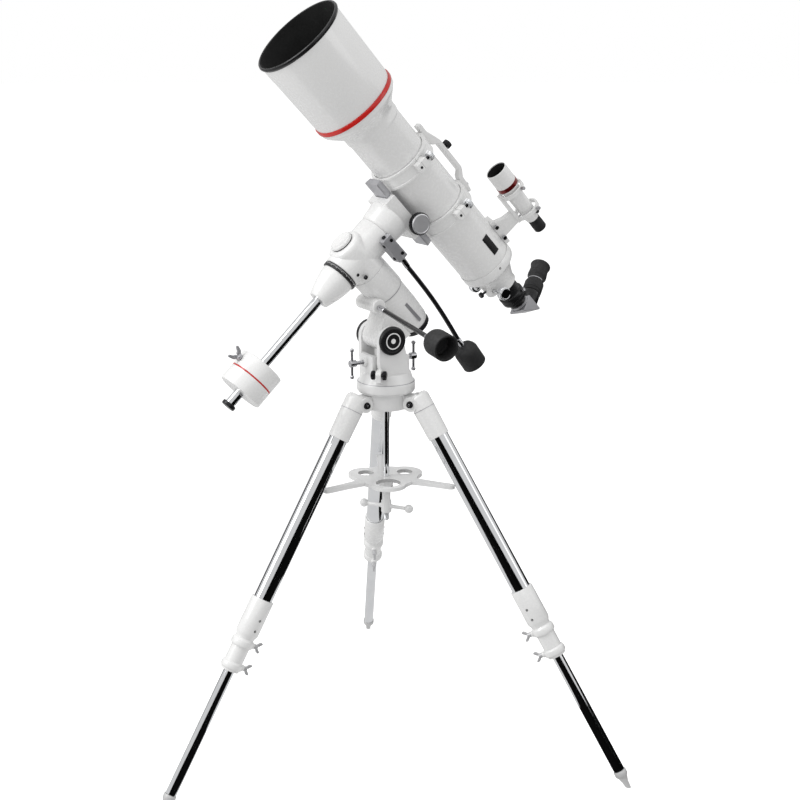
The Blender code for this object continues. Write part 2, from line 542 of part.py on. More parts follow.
def make_cradle(tube):
    """The dovetail bar, two rings and the carrying bar bolted across their tops."""
    bar_bottom, bar_top = -78.0, -RING_OUTER - 2 * GAP
    add("dovetail_bar", brick((bar_bottom, -22.4, -94.0), (bar_top, 22.4, 76.0)), GREY, tube)
    for name, z in RING_PLACES.items():
        make_ring(name, z, tube)
    base = RING_OUTER + 3.0 + GAP
    outline = [(base, 84.0), (base, 40.0), (base + 12.0, 26.0), (base + 12.0, -46.0), (base, -60.0),
               (base, -96.0), (base + 6.0, -96.0), (base + 10.0, -62.0), (base + 21.0, -46.0),
               (base + 21.0, 30.0), (base + 10.0, 62.0), (base + 10.0, 84.0)]
    bar = plate(outline, -8.0, 8.0, ALONG_Y)
    knob = lathe([(0.0, base + 18.0), (4.0, base + 18.0), (4.0, base + 25.0), (9.0, base + 26.0),
                  (9.0, base + 33.0), (0.0, base + 34.0)], 10, (0.0, 0.0, 8.0), ALONG_X)
    add("carrying_bar", joined(bar, knob), WHITE, tube)


def make_tube(tube):
    """The main tube with its lens cell, the dew shield and the objective lens."""
    wall = TUBE_RADIUS - 1.8
    outside = [(TUBE_RADIUS, TUBE_BACK), (TUBE_RADIUS, 150.0), (58.5, 156.0), (58.5, 168.0),
               (63.0, 176.0), (75.0, 190.0), (84.5, 200.0), (84.5, SHIELD_BACK)]
    inside = [(72.0, SHIELD_BACK), (66.0, 200.0), (wall, 196.0), (wall, TUBE_BACK)]
    add("main_tube", lathe(outside + inside, TUBE_SIDES), WHITE, tube)
    back, front = SHIELD_BACK + GAP, SHIELD_FRONT
    shield = lathe([(84.0, back), (87.0, back + 1.0), (87.0, back + 6.0), (84.5, back + 8.0),
                    (SHIELD_RADIUS, front - 8.0), (SHIELD_RADIUS + 3.5, front - 5.0),
                    (SHIELD_RADIUS + 1.0, front), (SHIELD_RADIUS - 3.0, front - 2.0),
                    (81.5, back)], 28)
    add("dew_shield", shield, WHITE, tube)
    lens = lathe([(0.0, 178.0), (wall - GAP, 180.0), (wall - GAP, 190.0), (38.0, 193.0), (0.0, 195.0)],
                 TUBE_SIDES)
    add("objective_lens", lens, GLASS, tube)


def make_focuser(tube):
    """The focuser's body, its sliding draw tube and the shaft that drives it."""
    bore = DRAW_RADIUS + GAP
    body = lathe([(TUBE_RADIUS + GAP, -226.0), (TUBE_RADIUS + 1.8, -226.0), (TUBE_RADIUS + 1.8, -243.0),
                  (55.0, -248.0), (50.0, -251.0), (42.0, -262.0), (31.0, -286.0), (30.0, -301.0),
                  (bore, -301.0), (bore, -262.0), (44.0, -247.0), (TUBE_RADIUS - 4.0, TUBE_BACK - GAP),
                  (TUBE_RADIUS + GAP, TUBE_BACK - GAP)], TUBE_SIDES)
    box = brick((-42.0, -17.0, -295.0), (-22.0, 17.0, -270.0))
    box = cut(box, rod((0.0, 0.0, -320.0), (0.0, 0.0, -250.0), 27.0, 24))
    body = joined(body, box)
    body = cut(body, rod((FOCUS_SHAFT_X, -60.0, FOCUS_SHAFT_Z), (FOCUS_SHAFT_X, 60.0, FOCUS_SHAFT_Z),
                         3.3, 8))
    add("focuser_body", body, WHITE, tube)
    draw = lathe([(22.4, -190.0), (22.4, -338.0), (16.3, -338.0), (16.3, -346.0), (26.0, -346.0),
                  (27.5, -344.0), (27.5, -326.0), (DRAW_RADIUS, -324.0), (DRAW_RADIUS, -190.0)], 20)
    add("draw_tube", draw, BLACK, tube)
    shaft = lathe([(0.0, -60.0), (12.0, -60.0), (13.5, -58.5), (13.5, -46.0), (9.0, -43.0), (5.0, -40.0),
                   (3.0, -38.0), (3.0, 38.0), (5.0, 40.0), (9.0, 43.0), (13.5, 46.0), (13.5, 58.5),
                   (12.0, 60.0), (0.0, 60.0)], 14, (FOCUS_SHAFT_X, 0.0, FOCUS_SHAFT_Z), ALONG_Y)
    add("focus_shaft", shaft, CHROME, tube, (FOCUS_SHAFT_X, 0.0, FOCUS_SHAFT_Z))


def make_diagonal(elbow):
    """The star diagonal and its eyepiece."""
    half = 21.0
    wedge = plate([(-half, half), (half, half), (half, -half), (half - 5.0, -half), (-half, half - 5.0)],
                  -19.0, 19.0, ALONG_Y)
    nose = lathe([(0.0, half - 2.0), (18.5, half - 2.0), (18.5, half + 15.0), (15.8, half + 17.0),
                  (15.8, 62.0), (0.0, 62.0)], 16)
    socket = lathe([(0.0, half - 2.0), (18.0, half - 2.0), (19.5, half + 4.0), (19.5, 48.0), (0.0, 48.0)],
                   16, (0.0, 0.0, 0.0), ALONG_X)
    bore = rod((half + 1.0, 0.0, 0.0), (60.0, 0.0, 0.0), 16.1, 16)
    add("star_diagonal", cut(joined(wedge, nose, socket), bore), BLACK, elbow)
    eyepiece = lathe([(0.0, half + 4.0), (15.8, half + 4.0), (15.8, 48.0 + GAP), (20.0, 50.0),
                      (20.5, 78.0), (17.5, 82.0), (17.5, 92.0), (20.5, 98.0), (19.0, 118.0),
                      (22.0, 130.0), (19.0, 131.0), (14.0, 121.0), (0.0, 121.0)], 16,
                     (0.0, 0.0, 0.0), ALONG_X)
    add("eyepiece", eyepiece, RUBBER, elbow)


def make_finder(finder):
    """The finder scope and the bracket that holds it in two rings."""
    axis = (FINDER_DISTANCE, 0.0, 0.0)
    rear = FINDER_FRONT - 170.0
    scope = lathe([(0.0, FINDER_FRONT - 40.0), (19.5, FINDER_FRONT - 40.0), (20.5, FINDER_FRONT - 1.0),
                   (21.0, FINDER_FRONT), (22.5, FINDER_FRONT - 1.5), (22.0, FINDER_FRONT - 44.0),
                   (19.0, FINDER_FRONT - 54.0), (17.0, FINDER_FRONT - 66.0), (15.5, FINDER_FRONT - 130.0),
                   (13.0, FINDER_FRONT - 140.0), (13.5, rear + 2.0), (11.0, rear), (0.0, rear + 4.0)],
                  16, axis)
    add("finder_scope", scope, WHITE, finder)
    shoe = brick((50.0, -17.0, -226.0), (65.0, 17.0, -166.0))
    shoe = cut(shoe, rod((0.0, 0.0, -300.0), (0.0, 0.0, -100.0), TUBE_RADIUS + GAP, TUBE_SIDES))
    stem = plate([(64.0, -216.0), (104.0, -212.0), (104.0, -186.0), (64.0, -176.0)], -8.0, 8.0, ALONG_Y)
    spine = brick((103.0, -10.0, -214.0), (110.0, 10.0, -144.0))
    bracket = joined(shoe, stem, spine)
    for z in (-150.0, -207.0):
        band = lathe([(23.3, z - 5.0), (27.5, z - 5.0), (27.5, z + 5.0), (23.3, z + 5.0)], 16, axis)
        bracket = joined(bracket, band)
        for turn in (60.0, -60.0, 180.0):
            out = Vector((math.cos(math.radians(turn)), math.sin(math.radians(turn)), 0.0))
            centre = Vector(axis) + Vector((0.0, 0.0, z))
            inner = 19.2 if z > -200.0 else 16.2
            outer = 24.5 if turn == 180.0 else 37.0
            bracket = joined(bracket, rod(centre + out * inner, centre + out * outer, 2.2, 6))
    add("finder_bracket", bracket, WHITE, finder)


def centre_on_origin(roots):
    """Slide the root frames sideways until the whole object's box is centred over the origin."""
    bpy.context.view_layer.update()
    pieces = [thing for thing in bpy.data.objects if thing.type == "MESH"]
    points = [piece.matrix_world @ vertex.co for piece in pieces for vertex in piece.data.vertices]
    for axis in (0, 1):
        reach = [point[axis] for point in points]
        for root in roots:
            root.location[axis] -= (min(reach) + max(reach)) / 2


def main():
    """Build the frames, then every piece in its frame."""
    clear_scene()
    leg_turns = [math.radians(angle) for angle in LEG_DIRECTIONS.values()]
    tripod = frame("tripod", None, (0.0, 0.0, HINGE_HEIGHT), (0.0, 0.0, TRIPOD_TURN))
    make_hub(tripod, leg_turns)
    make_spreader(tripod, leg_turns)
    for name, turn in zip(LEG_DIRECTIONS, leg_turns):
        at = (BOLT_RADIUS_OUT * math.cos(turn), BOLT_RADIUS_OUT * math.sin(turn), -BOLT_DROP)
        make_leg(name, frame(f"{name}_leg", tripod, at, (0.0, -LEG_ANGLE, turn)))

    mount = frame("mount", None, (0.0, 0.0, HINGE_HEIGHT))
    make_azimuth_base(mount)
    make_latitude_screws(mount)
    make_polar_housing(mount)

    head = frame("head", mount, CROSSING, (0.0, LATITUDE - math.pi / 2, 0.0))
    make_dec_housing(head)
    make_counterweight(head)
    ra_shaft = control_shaft((-44.0, -43.0, -88.0), (-70.0, -290.0, -108.0))
    add("ra_control_shaft", ra_shaft, BLACK, head, (-44.0, -43.0, -88.0))
    dec_shaft = control_shaft((55.0, -44.0, -56.0), (24.0, -44.0, -342.0))
    add("dec_control_shaft", dec_shaft, BLACK, head, (55.0, -44.0, -56.0))
    make_saddle(head)

    tube = frame("tube", head, (TUBE_DISTANCE, 0.0, 0.0))
    make_cradle(tube)
    make_tube(tube)
    make_focuser(tube)
    make_diagonal(frame("elbow", tube, (0.0, 0.0, ELBOW_Z), (0.0, 0.0, ELBOW_ROLL)))
    make_finder(frame("finder", tube, (0.0, 0.0, 0.0), (0.0, 0.0, FINDER_ANGLE)))
    centre_on_origin((tripod, mount))


main()
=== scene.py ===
"""Looks of a short refracting telescope on a German equatorial mount and a tubular tripod.

Lengths are millimetres inside a piece's own frame.
Each frame's matrix carries them to the row frame, which is in metres.
"""

import math

import bmesh
import bpy
from mathutils import Matrix, Vector


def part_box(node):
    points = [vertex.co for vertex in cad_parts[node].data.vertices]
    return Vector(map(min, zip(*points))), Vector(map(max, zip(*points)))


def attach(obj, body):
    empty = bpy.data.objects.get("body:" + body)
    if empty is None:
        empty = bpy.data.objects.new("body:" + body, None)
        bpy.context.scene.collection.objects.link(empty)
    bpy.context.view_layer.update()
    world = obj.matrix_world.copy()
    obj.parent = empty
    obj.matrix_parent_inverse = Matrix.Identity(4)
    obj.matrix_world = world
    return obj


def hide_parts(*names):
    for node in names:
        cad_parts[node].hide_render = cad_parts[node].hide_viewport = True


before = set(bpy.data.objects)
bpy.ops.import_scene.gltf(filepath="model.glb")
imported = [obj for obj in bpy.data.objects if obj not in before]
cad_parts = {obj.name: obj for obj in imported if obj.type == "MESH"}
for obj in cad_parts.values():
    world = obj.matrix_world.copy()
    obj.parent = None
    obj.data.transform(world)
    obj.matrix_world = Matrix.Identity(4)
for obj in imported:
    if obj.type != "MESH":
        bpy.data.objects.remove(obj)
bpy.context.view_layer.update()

# ---------------------------------------------------------------- frames

MM = 0.001
LATITUDE = 46.8
LEG_LEAN = 31.4
BOLT_RADIUS = 62.4
LEG_TURNS = {"north": 180.0, "west": 300.0, "east": 60.0}
LEG_X = 12.0
PIVOT = Vector((-12.0, 0.0, 122.0))
SCREW_HEIGHT = 75.0
UPPER_SCREW_HEIGHT = -519.0
LOWER_SCREW_HEIGHT = -566.0
LUG_TURN = 226.6
LUG_RADIUS = 61.0
LUG_HEIGHT = 56.5
BALL_RADIUS = 9.0
BALL_REACH = 50.0
FINDER_OFFSET = 132.7
FINDER_RINGS = (-150.0, -207.0)
UP = (0.0, 0.0, 1.0)
ALONG_X = (1.0, 0.0, 0.0)
ALONG_Y = (0.0, 1.0, 0.0)


def shift(x, y, z):
    """A translation."""
    return Matrix.Translation((x, y, z))


def turn(degrees, axis):
    """A rotation about one axis."""
    return Matrix.Rotation(math.radians(degrees), 4, axis)


rod_low, rod_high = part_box("spindle_rod")
AXIS = (rod_low + rod_high) / 2
HINGE_HEIGHT = 0.748
TRIPOD_TURN = 4.7
MOUNT = Matrix.Translation((AXIS.x, AXIS.y, HINGE_HEIGHT)) @ Matrix.Scale(MM, 4)
TRIPOD = MOUNT @ turn(TRIPOD_TURN, "Z")
LEGS = {}
for leg_name, leg_turn in LEG_TURNS.items():
    LEGS[leg_name] = TRIPOD @ turn(leg_turn, "Z") @ shift(BOLT_RADIUS, 0.0, -6.3) @ turn(-LEG_LEAN, "Y")
HEAD_IN_MOUNT = shift(-67.8, 0.0, 284.8) @ turn(LATITUDE - 90.0, "Y")
HEAD = MOUNT @ HEAD_IN_MOUNT
TUBE = HEAD @ shift(197.0, 0.0, 0.0)
ELBOW = TUBE @ shift(0.0, 0.0, -385.0) @ turn(28.0, "Z")
FINDER = TUBE @ turn(-15.3, "Z")


# ---------------------------------------------------------------- materials

def socket(shader, name, value):
    """Set an input of a shader."""
    shader.inputs[name].default_value = value


def start_material(name):
    """A new material with its node tree and shader."""
    made = bpy.data.materials.new(name)
    made.use_nodes = True
    tree = made.node_tree
    return made, tree, tree.nodes["Principled BSDF"]


def noise(tree, scale, detail=3.0, stretch=(1.0, 1.0, 1.0)):
    """A noise texture in the object's own coordinates, stretched along an axis if asked."""
    place = tree.nodes.new("ShaderNodeTexCoord")
    mapping = tree.nodes.new("ShaderNodeMapping")
    mapping.inputs["Scale"].default_value = stretch
    texture = tree.nodes.new("ShaderNodeTexNoise")
    texture.inputs["Scale"].default_value = scale
    texture.inputs["Detail"].default_value = detail
    tree.links.new(place.outputs["Object"], mapping.inputs["Vector"])
    tree.links.new(mapping.outputs["Vector"], texture.inputs["Vector"])
    return texture


def spread(tree, texture, low, high):
    """Map a texture's value to a range."""
    ramp = tree.nodes.new("ShaderNodeMapRange")
    ramp.inputs["From Min"].default_value = 0.3
    ramp.inputs["From Max"].default_value = 0.7
    ramp.inputs["To Min"].default_value = low
    ramp.inputs["To Max"].default_value = high
    tree.links.new(texture.outputs["Fac"], ramp.inputs["Value"])
    return ramp.outputs["Result"]


def blended(tree, texture, first, second):
    """Mix two colours by a texture."""
    mix = tree.nodes.new("ShaderNodeMix")
    mix.data_type = "RGBA"
    mix.inputs[6].default_value = (*first, 1.0)
    mix.inputs[7].default_value = (*second, 1.0)
    tree.links.new(spread(tree, texture, 0.0, 1.0), mix.inputs[0])
    return mix.outputs[2]


def bumped(tree, shader, texture, strength, distance):
    """Raise the surface by a texture."""
    bump = tree.nodes.new("ShaderNodeBump")
    bump.inputs["Strength"].default_value = strength
    bump.inputs["Distance"].default_value = distance
    tree.links.new(texture.outputs["Fac"], bump.inputs["Height"])
    tree.links.new(bump.outputs["Normal"], shader.inputs["Normal"])


def surface(name, colours, rough, metallic=0.0, grain=(600.0, 0.05, 0.0002), coat=0.0,
            stretch=(1.0, 1.0, 1.0), patch=30.0):
    """A finish: two shades in soft patches, uneven roughness and a fine grain."""
    made, tree, shader = start_material(name)
    patches = noise(tree, patch, 4.0)
    tree.links.new(blended(tree, patches, *colours), shader.inputs["Base Color"])
    wear = noise(tree, patch * 6.0, 6.0, stretch)
    tree.links.new(spread(tree, wear, *rough), shader.inputs["Roughness"])
    socket(shader, "Metallic", metallic)
    socket(shader, "Coat Weight", coat)
    socket(shader, "Coat Roughness", 0.06)
    scale, strength, distance = grain
    bumped(tree, shader, noise(tree, scale, 2.0, stretch), strength, distance)
    return made


WHITE = surface("white_enamel", ((0.845, 0.845, 0.84), (0.86, 0.86, 0.855)), (0.25, 0.29), 0.0,
                (900.0, 0.02, 0.0001), 0.6)
CAST_WHITE = surface("white_cast_enamel", ((0.80, 0.80, 0.80), (0.85, 0.85, 0.845)), (0.28, 0.36), 0.0,
                     (500.0, 0.06, 0.0002), 0.45)
CHROME = surface("bright_chrome", ((0.80, 0.81, 0.83), (0.86, 0.87, 0.88)), (0.03, 0.09), 1.0,
                 (900.0, 0.02, 0.0001), 0.0, (1.0, 1.0, 0.15))
STEEL = surface("plated_steel", ((0.50, 0.50, 0.52), (0.62, 0.62, 0.64)), (0.14, 0.3), 1.0,
                (800.0, 0.08, 0.0001))
PALE_STEEL = surface("pale_cast_steel", ((0.56, 0.56, 0.57), (0.66, 0.66, 0.67)), (0.32, 0.44), 0.35,
                     (800.0, 0.08, 0.0001))
STEEL_FACE = surface("spun_steel_face", ((0.72, 0.72, 0.74), (0.84, 0.84, 0.86)), (0.3, 0.42), 0.7,
                     (800.0, 0.06, 0.0001))
DARK_STEEL = surface("dark_steel", ((0.02, 0.02, 0.022), (0.06, 0.06, 0.065)), (0.18, 0.36), 1.0,
                     (800.0, 0.08, 0.0001))
BLACK = surface("black_plastic", ((0.008, 0.008, 0.009), (0.016, 0.016, 0.018)), (0.24, 0.42), 0.0,
                (900.0, 0.15, 0.0002))
SATIN_BLACK = surface("satin_black_metal", ((0.010, 0.010, 0.011), (0.022, 0.022, 0.024)), (0.2, 0.38),
                      0.3, (900.0, 0.1, 0.0001))
GLOSS_BLACK = surface("gloss_black_sheath", ((0.006, 0.006, 0.007), (0.010, 0.010, 0.011)), (0.16, 0.24),
                      0.0, (900.0, 0.04, 0.0001), 0.6)
RUBBER = surface("black_rubber", ((0.014, 0.014, 0.015), (0.026, 0.026, 0.027)), (0.55, 0.8), 0.0,
                 (500.0, 0.4, 0.0004))
FLOCK = surface("matt_black_lining", ((0.006, 0.006, 0.006), (0.014, 0.014, 0.014)), (0.8, 0.95), 0.0,
                (1500.0, 0.5, 0.0003))
RED = surface("red_ring", ((0.52, 0.008, 0.005), (0.62, 0.012, 0.008)), (0.2, 0.26), 0.0,
              (900.0, 0.02, 0.0001), 0.3)
DARK_RED = surface("anodised_red", ((0.16, 0.006, 0.006), (0.24, 0.01, 0.01)), (0.14, 0.26), 0.6,
                   (700.0, 0.05, 0.0001), 0.4)
GREY = surface("grey_casting", ((0.42, 0.42, 0.44), (0.52, 0.52, 0.54)), (0.3, 0.48), 0.55,
               (500.0, 0.2, 0.0002))
FOOT = surface("foot_ferrule", ((0.55, 0.55, 0.55), (0.64, 0.64, 0.64)), (0.3, 0.5), 0.1,
               (500.0, 0.15, 0.0002))
TICK = surface("white_ticks", ((0.8, 0.8, 0.8), (0.9, 0.9, 0.9)), (0.4, 0.5))


def glass_material():
    """Coated glass, seen over a black interior."""
    made, tree, shader = start_material("coated_lens")
    tree.links.new(blended(tree, noise(tree, 12.0), (0.75, 0.9, 0.8), (0.85, 0.95, 0.9)),
                   shader.inputs["Base Color"])
    socket(shader, "Roughness", 0.02)
    socket(shader, "Transmission Weight", 0.95)
    socket(shader, "IOR", 1.5)
    socket(shader, "Coat Weight", 0.8)
    socket(shader, "Coat Tint", (0.55, 0.9, 0.65, 1.0))
    return made


LENS = glass_material()


# ---------------------------------------------------------------- shapes

def loose(bm):
    """Turn a bmesh into a loose object whose faces point out."""
    bmesh.ops.remove_doubles(bm, verts=bm.verts, dist=0.0005)
    bmesh.ops.recalc_face_normals(bm, faces=bm.faces)
    mesh = bpy.data.meshes.new("shape")
    bm.to_mesh(mesh)
    bm.free()
    thing = bpy.data.objects.new("shape", mesh)
    bpy.context.collection.objects.link(thing)
    return thing


def lathe(profile, sides=64, at=(0.0, 0.0, 0.0), towards=UP):
    """Turn a closed outline of (radius, height) points about an axis."""
    bm = bmesh.new()
    points = [bm.verts.new((radius, 0.0, height)) for radius, height in profile]
    pairs = zip(points, points[1:] + points[:1])
    edges = [bm.edges.new(pair) for pair in pairs if pair[0].co.x + pair[1].co.x > 0.0]
    bmesh.ops.spin(bm, geom=points + edges, axis=UP, cent=(0.0, 0.0, 0.0),
                   angle=math.tau, steps=sides)
    aim = Vector(towards).to_track_quat("Z", "Y").to_matrix().to_4x4()
    bm.transform(Matrix.Translation(Vector(at)) @ aim)
    return loose(bm)


def rod(start, end, radius, sides=32):
    """A round bar between two points."""
    length = (Vector(end) - Vector(start)).length
    profile = [(0.0, 0.0), (radius, 0.0), (radius, length), (0.0, length)]
    return lathe(profile, sides, start, Vector(end) - Vector(start))


def brick(low, high):
    """A box between two opposite corners."""
    bm = bmesh.new()
    bmesh.ops.create_cube(bm, size=1.0)
    low, high = Vector(low), Vector(high)
    bm.transform(Matrix.Translation((low + high) / 2) @ Matrix.Diagonal((*(high - low), 1.0)))
    return loose(bm)


def plate(outline, low, high, along=UP):
    """Extrude an outline along Z, or along Y where its points are (x, z)."""
    bm = bmesh.new()
    if along == UP:
        ring = [bm.verts.new((x, y, low)) for x, y in outline]
        step = Vector((0.0, 0.0, high - low))
    else:
        ring = [bm.verts.new((x, low, z)) for x, z in outline]
        step = Vector((0.0, high - low, 0.0))
    face = bm.faces.new(ring)
    moved = bmesh.ops.extrude_face_region(bm, geom=[face])["geom"]
    bmesh.ops.translate(bm, verts=[v for v in moved if isinstance(v, bmesh.types.BMVert)], vec=step)
    return loose(bm)


def arc(radius, start, end, count, centre=(0.0, 0.0)):
    """Points along a circle, from one angle in degrees to another."""
    angles = [math.radians(start + (end - start) * i / (count - 1)) for i in range(count)]
    return [(centre[0] + radius * math.cos(a), centre[1] + radius * math.sin(a)) for a in angles]


def knurled(radius, low, high, teeth, at=(0.0, 0.0, 0.0), towards=UP, depth=0.7, chamfer=1.0):
    """A round grip with a ring of fine teeth."""
    bm = bmesh.new()
    rings = []
    for height, inset in ((low, chamfer), (low + chamfer, 0.0), (high - chamfer, 0.0), (high, chamfer)):
        ring = []
        for i in range(teeth * 4):
            angle = math.tau * i / (teeth * 4)
            reach = radius - inset - (depth if i % 4 in (0, 1) else 0.0)
            ring.append(bm.verts.new((reach * math.cos(angle), reach * math.sin(angle), height)))
        rings.append(ring)
    for lower, upper in zip(rings, rings[1:]):
        for i in range(len(lower)):
            j = (i + 1) % len(lower)
            bm.faces.new((lower[i], lower[j], upper[j], upper[i]))
    bm.faces.new(rings[0])
    bm.faces.new(rings[-1])
    aim = Vector(towards).to_track_quat("Z", "Y").to_matrix().to_4x4()
    bm.transform(Matrix.Translation(Vector(at)) @ aim)
    return loose(bm)


def cap_screw(radius, height, at, towards):
    """A cap screw's head with its round socket."""
    hole = radius * 0.5
    return lathe([(0.0, 0.0), (radius, 0.0), (radius, height - 0.5), (radius - 0.5, height),
                  (hole, height), (hole, height - 2.0), (0.0, height - 2.0)], 24, at, towards)


def moved(thing, matrix):
    """Move a loose shape by a matrix."""
    thing.data.transform(matrix)
    return thing


def combine(base, others, operation):
    """Apply exact Booleans to a base shape and drop the other shapes."""
    for other in others:
        step = base.modifiers.new("step", "BOOLEAN")
        step.operation = operation
        step.solver = "EXACT"
        step.object = other
        bpy.context.view_layer.update()
        result = base.evaluated_get(bpy.context.evaluated_depsgraph_get())
        mesh = bpy.data.meshes.new_from_object(result)
        base.modifiers.clear()
        base.data = mesh
        bpy.data.objects.remove(other, do_unlink=True)
    return base


def joined(*shapes):
    """Union of several shapes."""
    return combine(shapes[0], shapes[1:], "UNION")


def cut(base, *cutters):
    """A shape with others taken out of it."""
    return combine(base, cutters, "DIFFERENCE")


def piece(name, place, body, finish, shapes, stands_for=(), edge=0.6, smooth=38.0):
    """Gather shapes into one piece, put it in the row frame, round its edges and ride it on a body."""
    bm = bmesh.new()
    for shape in shapes:
        bm.from_mesh(shape.data)
        bpy.data.objects.remove(shape, do_unlink=True)
    bm.transform(place)
    bmesh.ops.recalc_face_normals(bm, faces=bm.faces)
    mesh = bpy.data.meshes.new(name)
    bm.to_mesh(mesh)
    bm.free()
    made = bpy.data.objects.new(name, mesh)
    bpy.context.collection.objects.link(made)
    mesh.materials.append(finish)
    mesh.shade_smooth()
    mesh.set_sharp_from_angle(angle=math.radians(smooth))
    if edge:
        bevel = made.modifiers.new("edges", "BEVEL")
        bevel.width = edge * MM
        bevel.segments = 2
        bevel.limit_method = "ANGLE"
        bevel.angle_limit = math.radians(smooth)
        bevel.harden_normals = True
    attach(made, body)
    if stands_for:
        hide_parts(*stands_for)
    return made


# ---------------------------------------------------------------- tripod

def make_hub():
    """The head casting with a lug for each leg."""
    shapes = [lathe([(0.0, -22.0), (42.5, -22.0), (45.5, -20.5), (47.0, -17.0), (47.0, 10.5),
                     (48.5, 11.6), (56.0, 11.6), (56.0, 14.0), (0.0, 14.0)], 96)]
    for angle in LEG_TURNS.values():
        nose = arc(14.0, -90.0, 90.0, 25, (BOLT_RADIUS, -6.3))
        lug = plate([(34.0, -20.3)] + nose + [(34.0, 7.7)], -15.5, 15.5, ALONG_Y)
        shapes.append(moved(lug, turn(angle, "Z")))
    piece("hub_casting", TRIPOD, "tripod_head", CAST_WHITE, shapes, ["tripod_hub"], 1.2)


def make_spindle():
    """The chromed spindle, smooth above the tray and threaded below it."""
    pitch = 1.75
    profile = [(0.0, -22.3), (6.0, -22.3), (6.0, -196.0)]
    height = -198.0
    while height > -260.0:
        profile += [(5.9, height), (5.2, height - pitch / 2)]
        height -= pitch
    profile += [(5.0, -262.0), (0.0, -262.0)]
    piece("spindle_with_thread", TRIPOD, "tripod_head", CHROME, [lathe(profile, 40)],
          ["spindle_rod"], 0.0)


def tray_outline():
    """The tray's edge: three lobes with an arm between each pair."""
    outline = []
    for angle in LEG_TURNS.values():
        tip = 150.0
        arm = [(62.0, -11.5), (100.0, -9.0), (tip - 8.0, -8.5)]
        arm += [(tip - 8.0 + x, y) for x, y in arc(8.0, -80.0, 80.0, 9)]
        arm += [(tip - 8.0, 8.5), (100.0, 9.0), (62.0, 11.5)]
        lobe = arc(36.0, -15.0, 135.0, 33, (46.0 * math.cos(math.radians(60.0)),
                                           46.0 * math.sin(math.radians(60.0))))
        spin = Matrix.Rotation(math.radians(angle), 3, "Z")
        outline += [tuple((spin @ Vector((x, y, 0.0))).xy) for x, y in arm + lobe]
    return outline


def make_tray():
    """The tray with its three eyepiece holes, raised rims round them and a boss underneath."""
    tray = plate(tray_outline(), -176.0, -168.6)
    cutters = []
    rims = []
    for angle, radius in zip(LEG_TURNS.values(), (25.0, 16.0, 16.0)):
        a = math.radians(angle + 60.0)
        centre = (46.0 * math.cos(a), 46.0 * math.sin(a))
        cutters.append(rod((*centre, -190.0), (*centre, -150.0), radius, 48))
        rims.append(lathe([(radius, -175.8), (radius + 2.2, -175.8), (radius + 2.2, -168.4),
                           (radius + 1.4, -168.0), (radius, -168.2)], 48, (*centre, 0.0)))
    boss = lathe([(6.3, -189.0), (12.5, -189.0), (14.0, -187.0), (14.0, -175.0), (6.3, -175.0)], 48)
    cutters.append(rod((0.0, 0.0, -190.0), (0.0, 0.0, -150.0), 6.3, 40))
    collar = lathe([(6.3, -170.0), (11.0, -170.0), (11.0, -168.0), (6.3, -168.0)], 48)
    piece("tray_plate", TRIPOD, "tray", CAST_WHITE,
          [cut(tray, *cutters), boss, collar] + rims, ["accessory_tray"], 1.0)


def make_spreader_nut():
    """The nut with its cross handle and ball ends, and a dark washer."""
    handle = turn(-54.0 - TRIPOD_TURN, "Z")
    nut = lathe([(6.3, -198.0), (8.5, -198.0), (8.5, -219.0), (10.5, -222.0), (10.5, -245.0),
                 (9.5, -246.0), (6.3, -246.0)], 48)
    shapes = [nut]
    for side in (1.0, -1.0):
        arm = lathe([(0.0, 9.0), (4.6, 9.0), (4.6, 13.0), (4.0, 14.0), (3.7, 41.0), (0.0, 43.0)], 32,
                    (0.0, 0.0, -233.0), (side, 0.0, 0.0))
        surface_points = []
        for degrees in range(15, 171, 12):
            angle = math.radians(degrees)
            surface_points.append((BALL_RADIUS * math.sin(angle), BALL_REACH - BALL_RADIUS * math.cos(angle)))
        ball = lathe([(0.0, 41.0)] + surface_points + [(0.0, 59.0)], 32, (0.0, 0.0, -233.0),
                     (side, 0.0, 0.0))
        shapes += [moved(arm, handle), moved(ball, handle)]
    piece("nut_with_handle", TRIPOD, "spreader_nut", CAST_WHITE, shapes,
          ["spreader_nut_handle"], 0.4)
    washer = lathe([(6.3, -197.8), (13.0, -197.8), (14.0, -196.5), (14.0, -190.5), (13.0, -189.4),
                    (6.3, -189.4)], 48)
    piece("spreader_washer", TRIPOD, "spreader_nut", DARK_STEEL, [washer], (), 0.4)


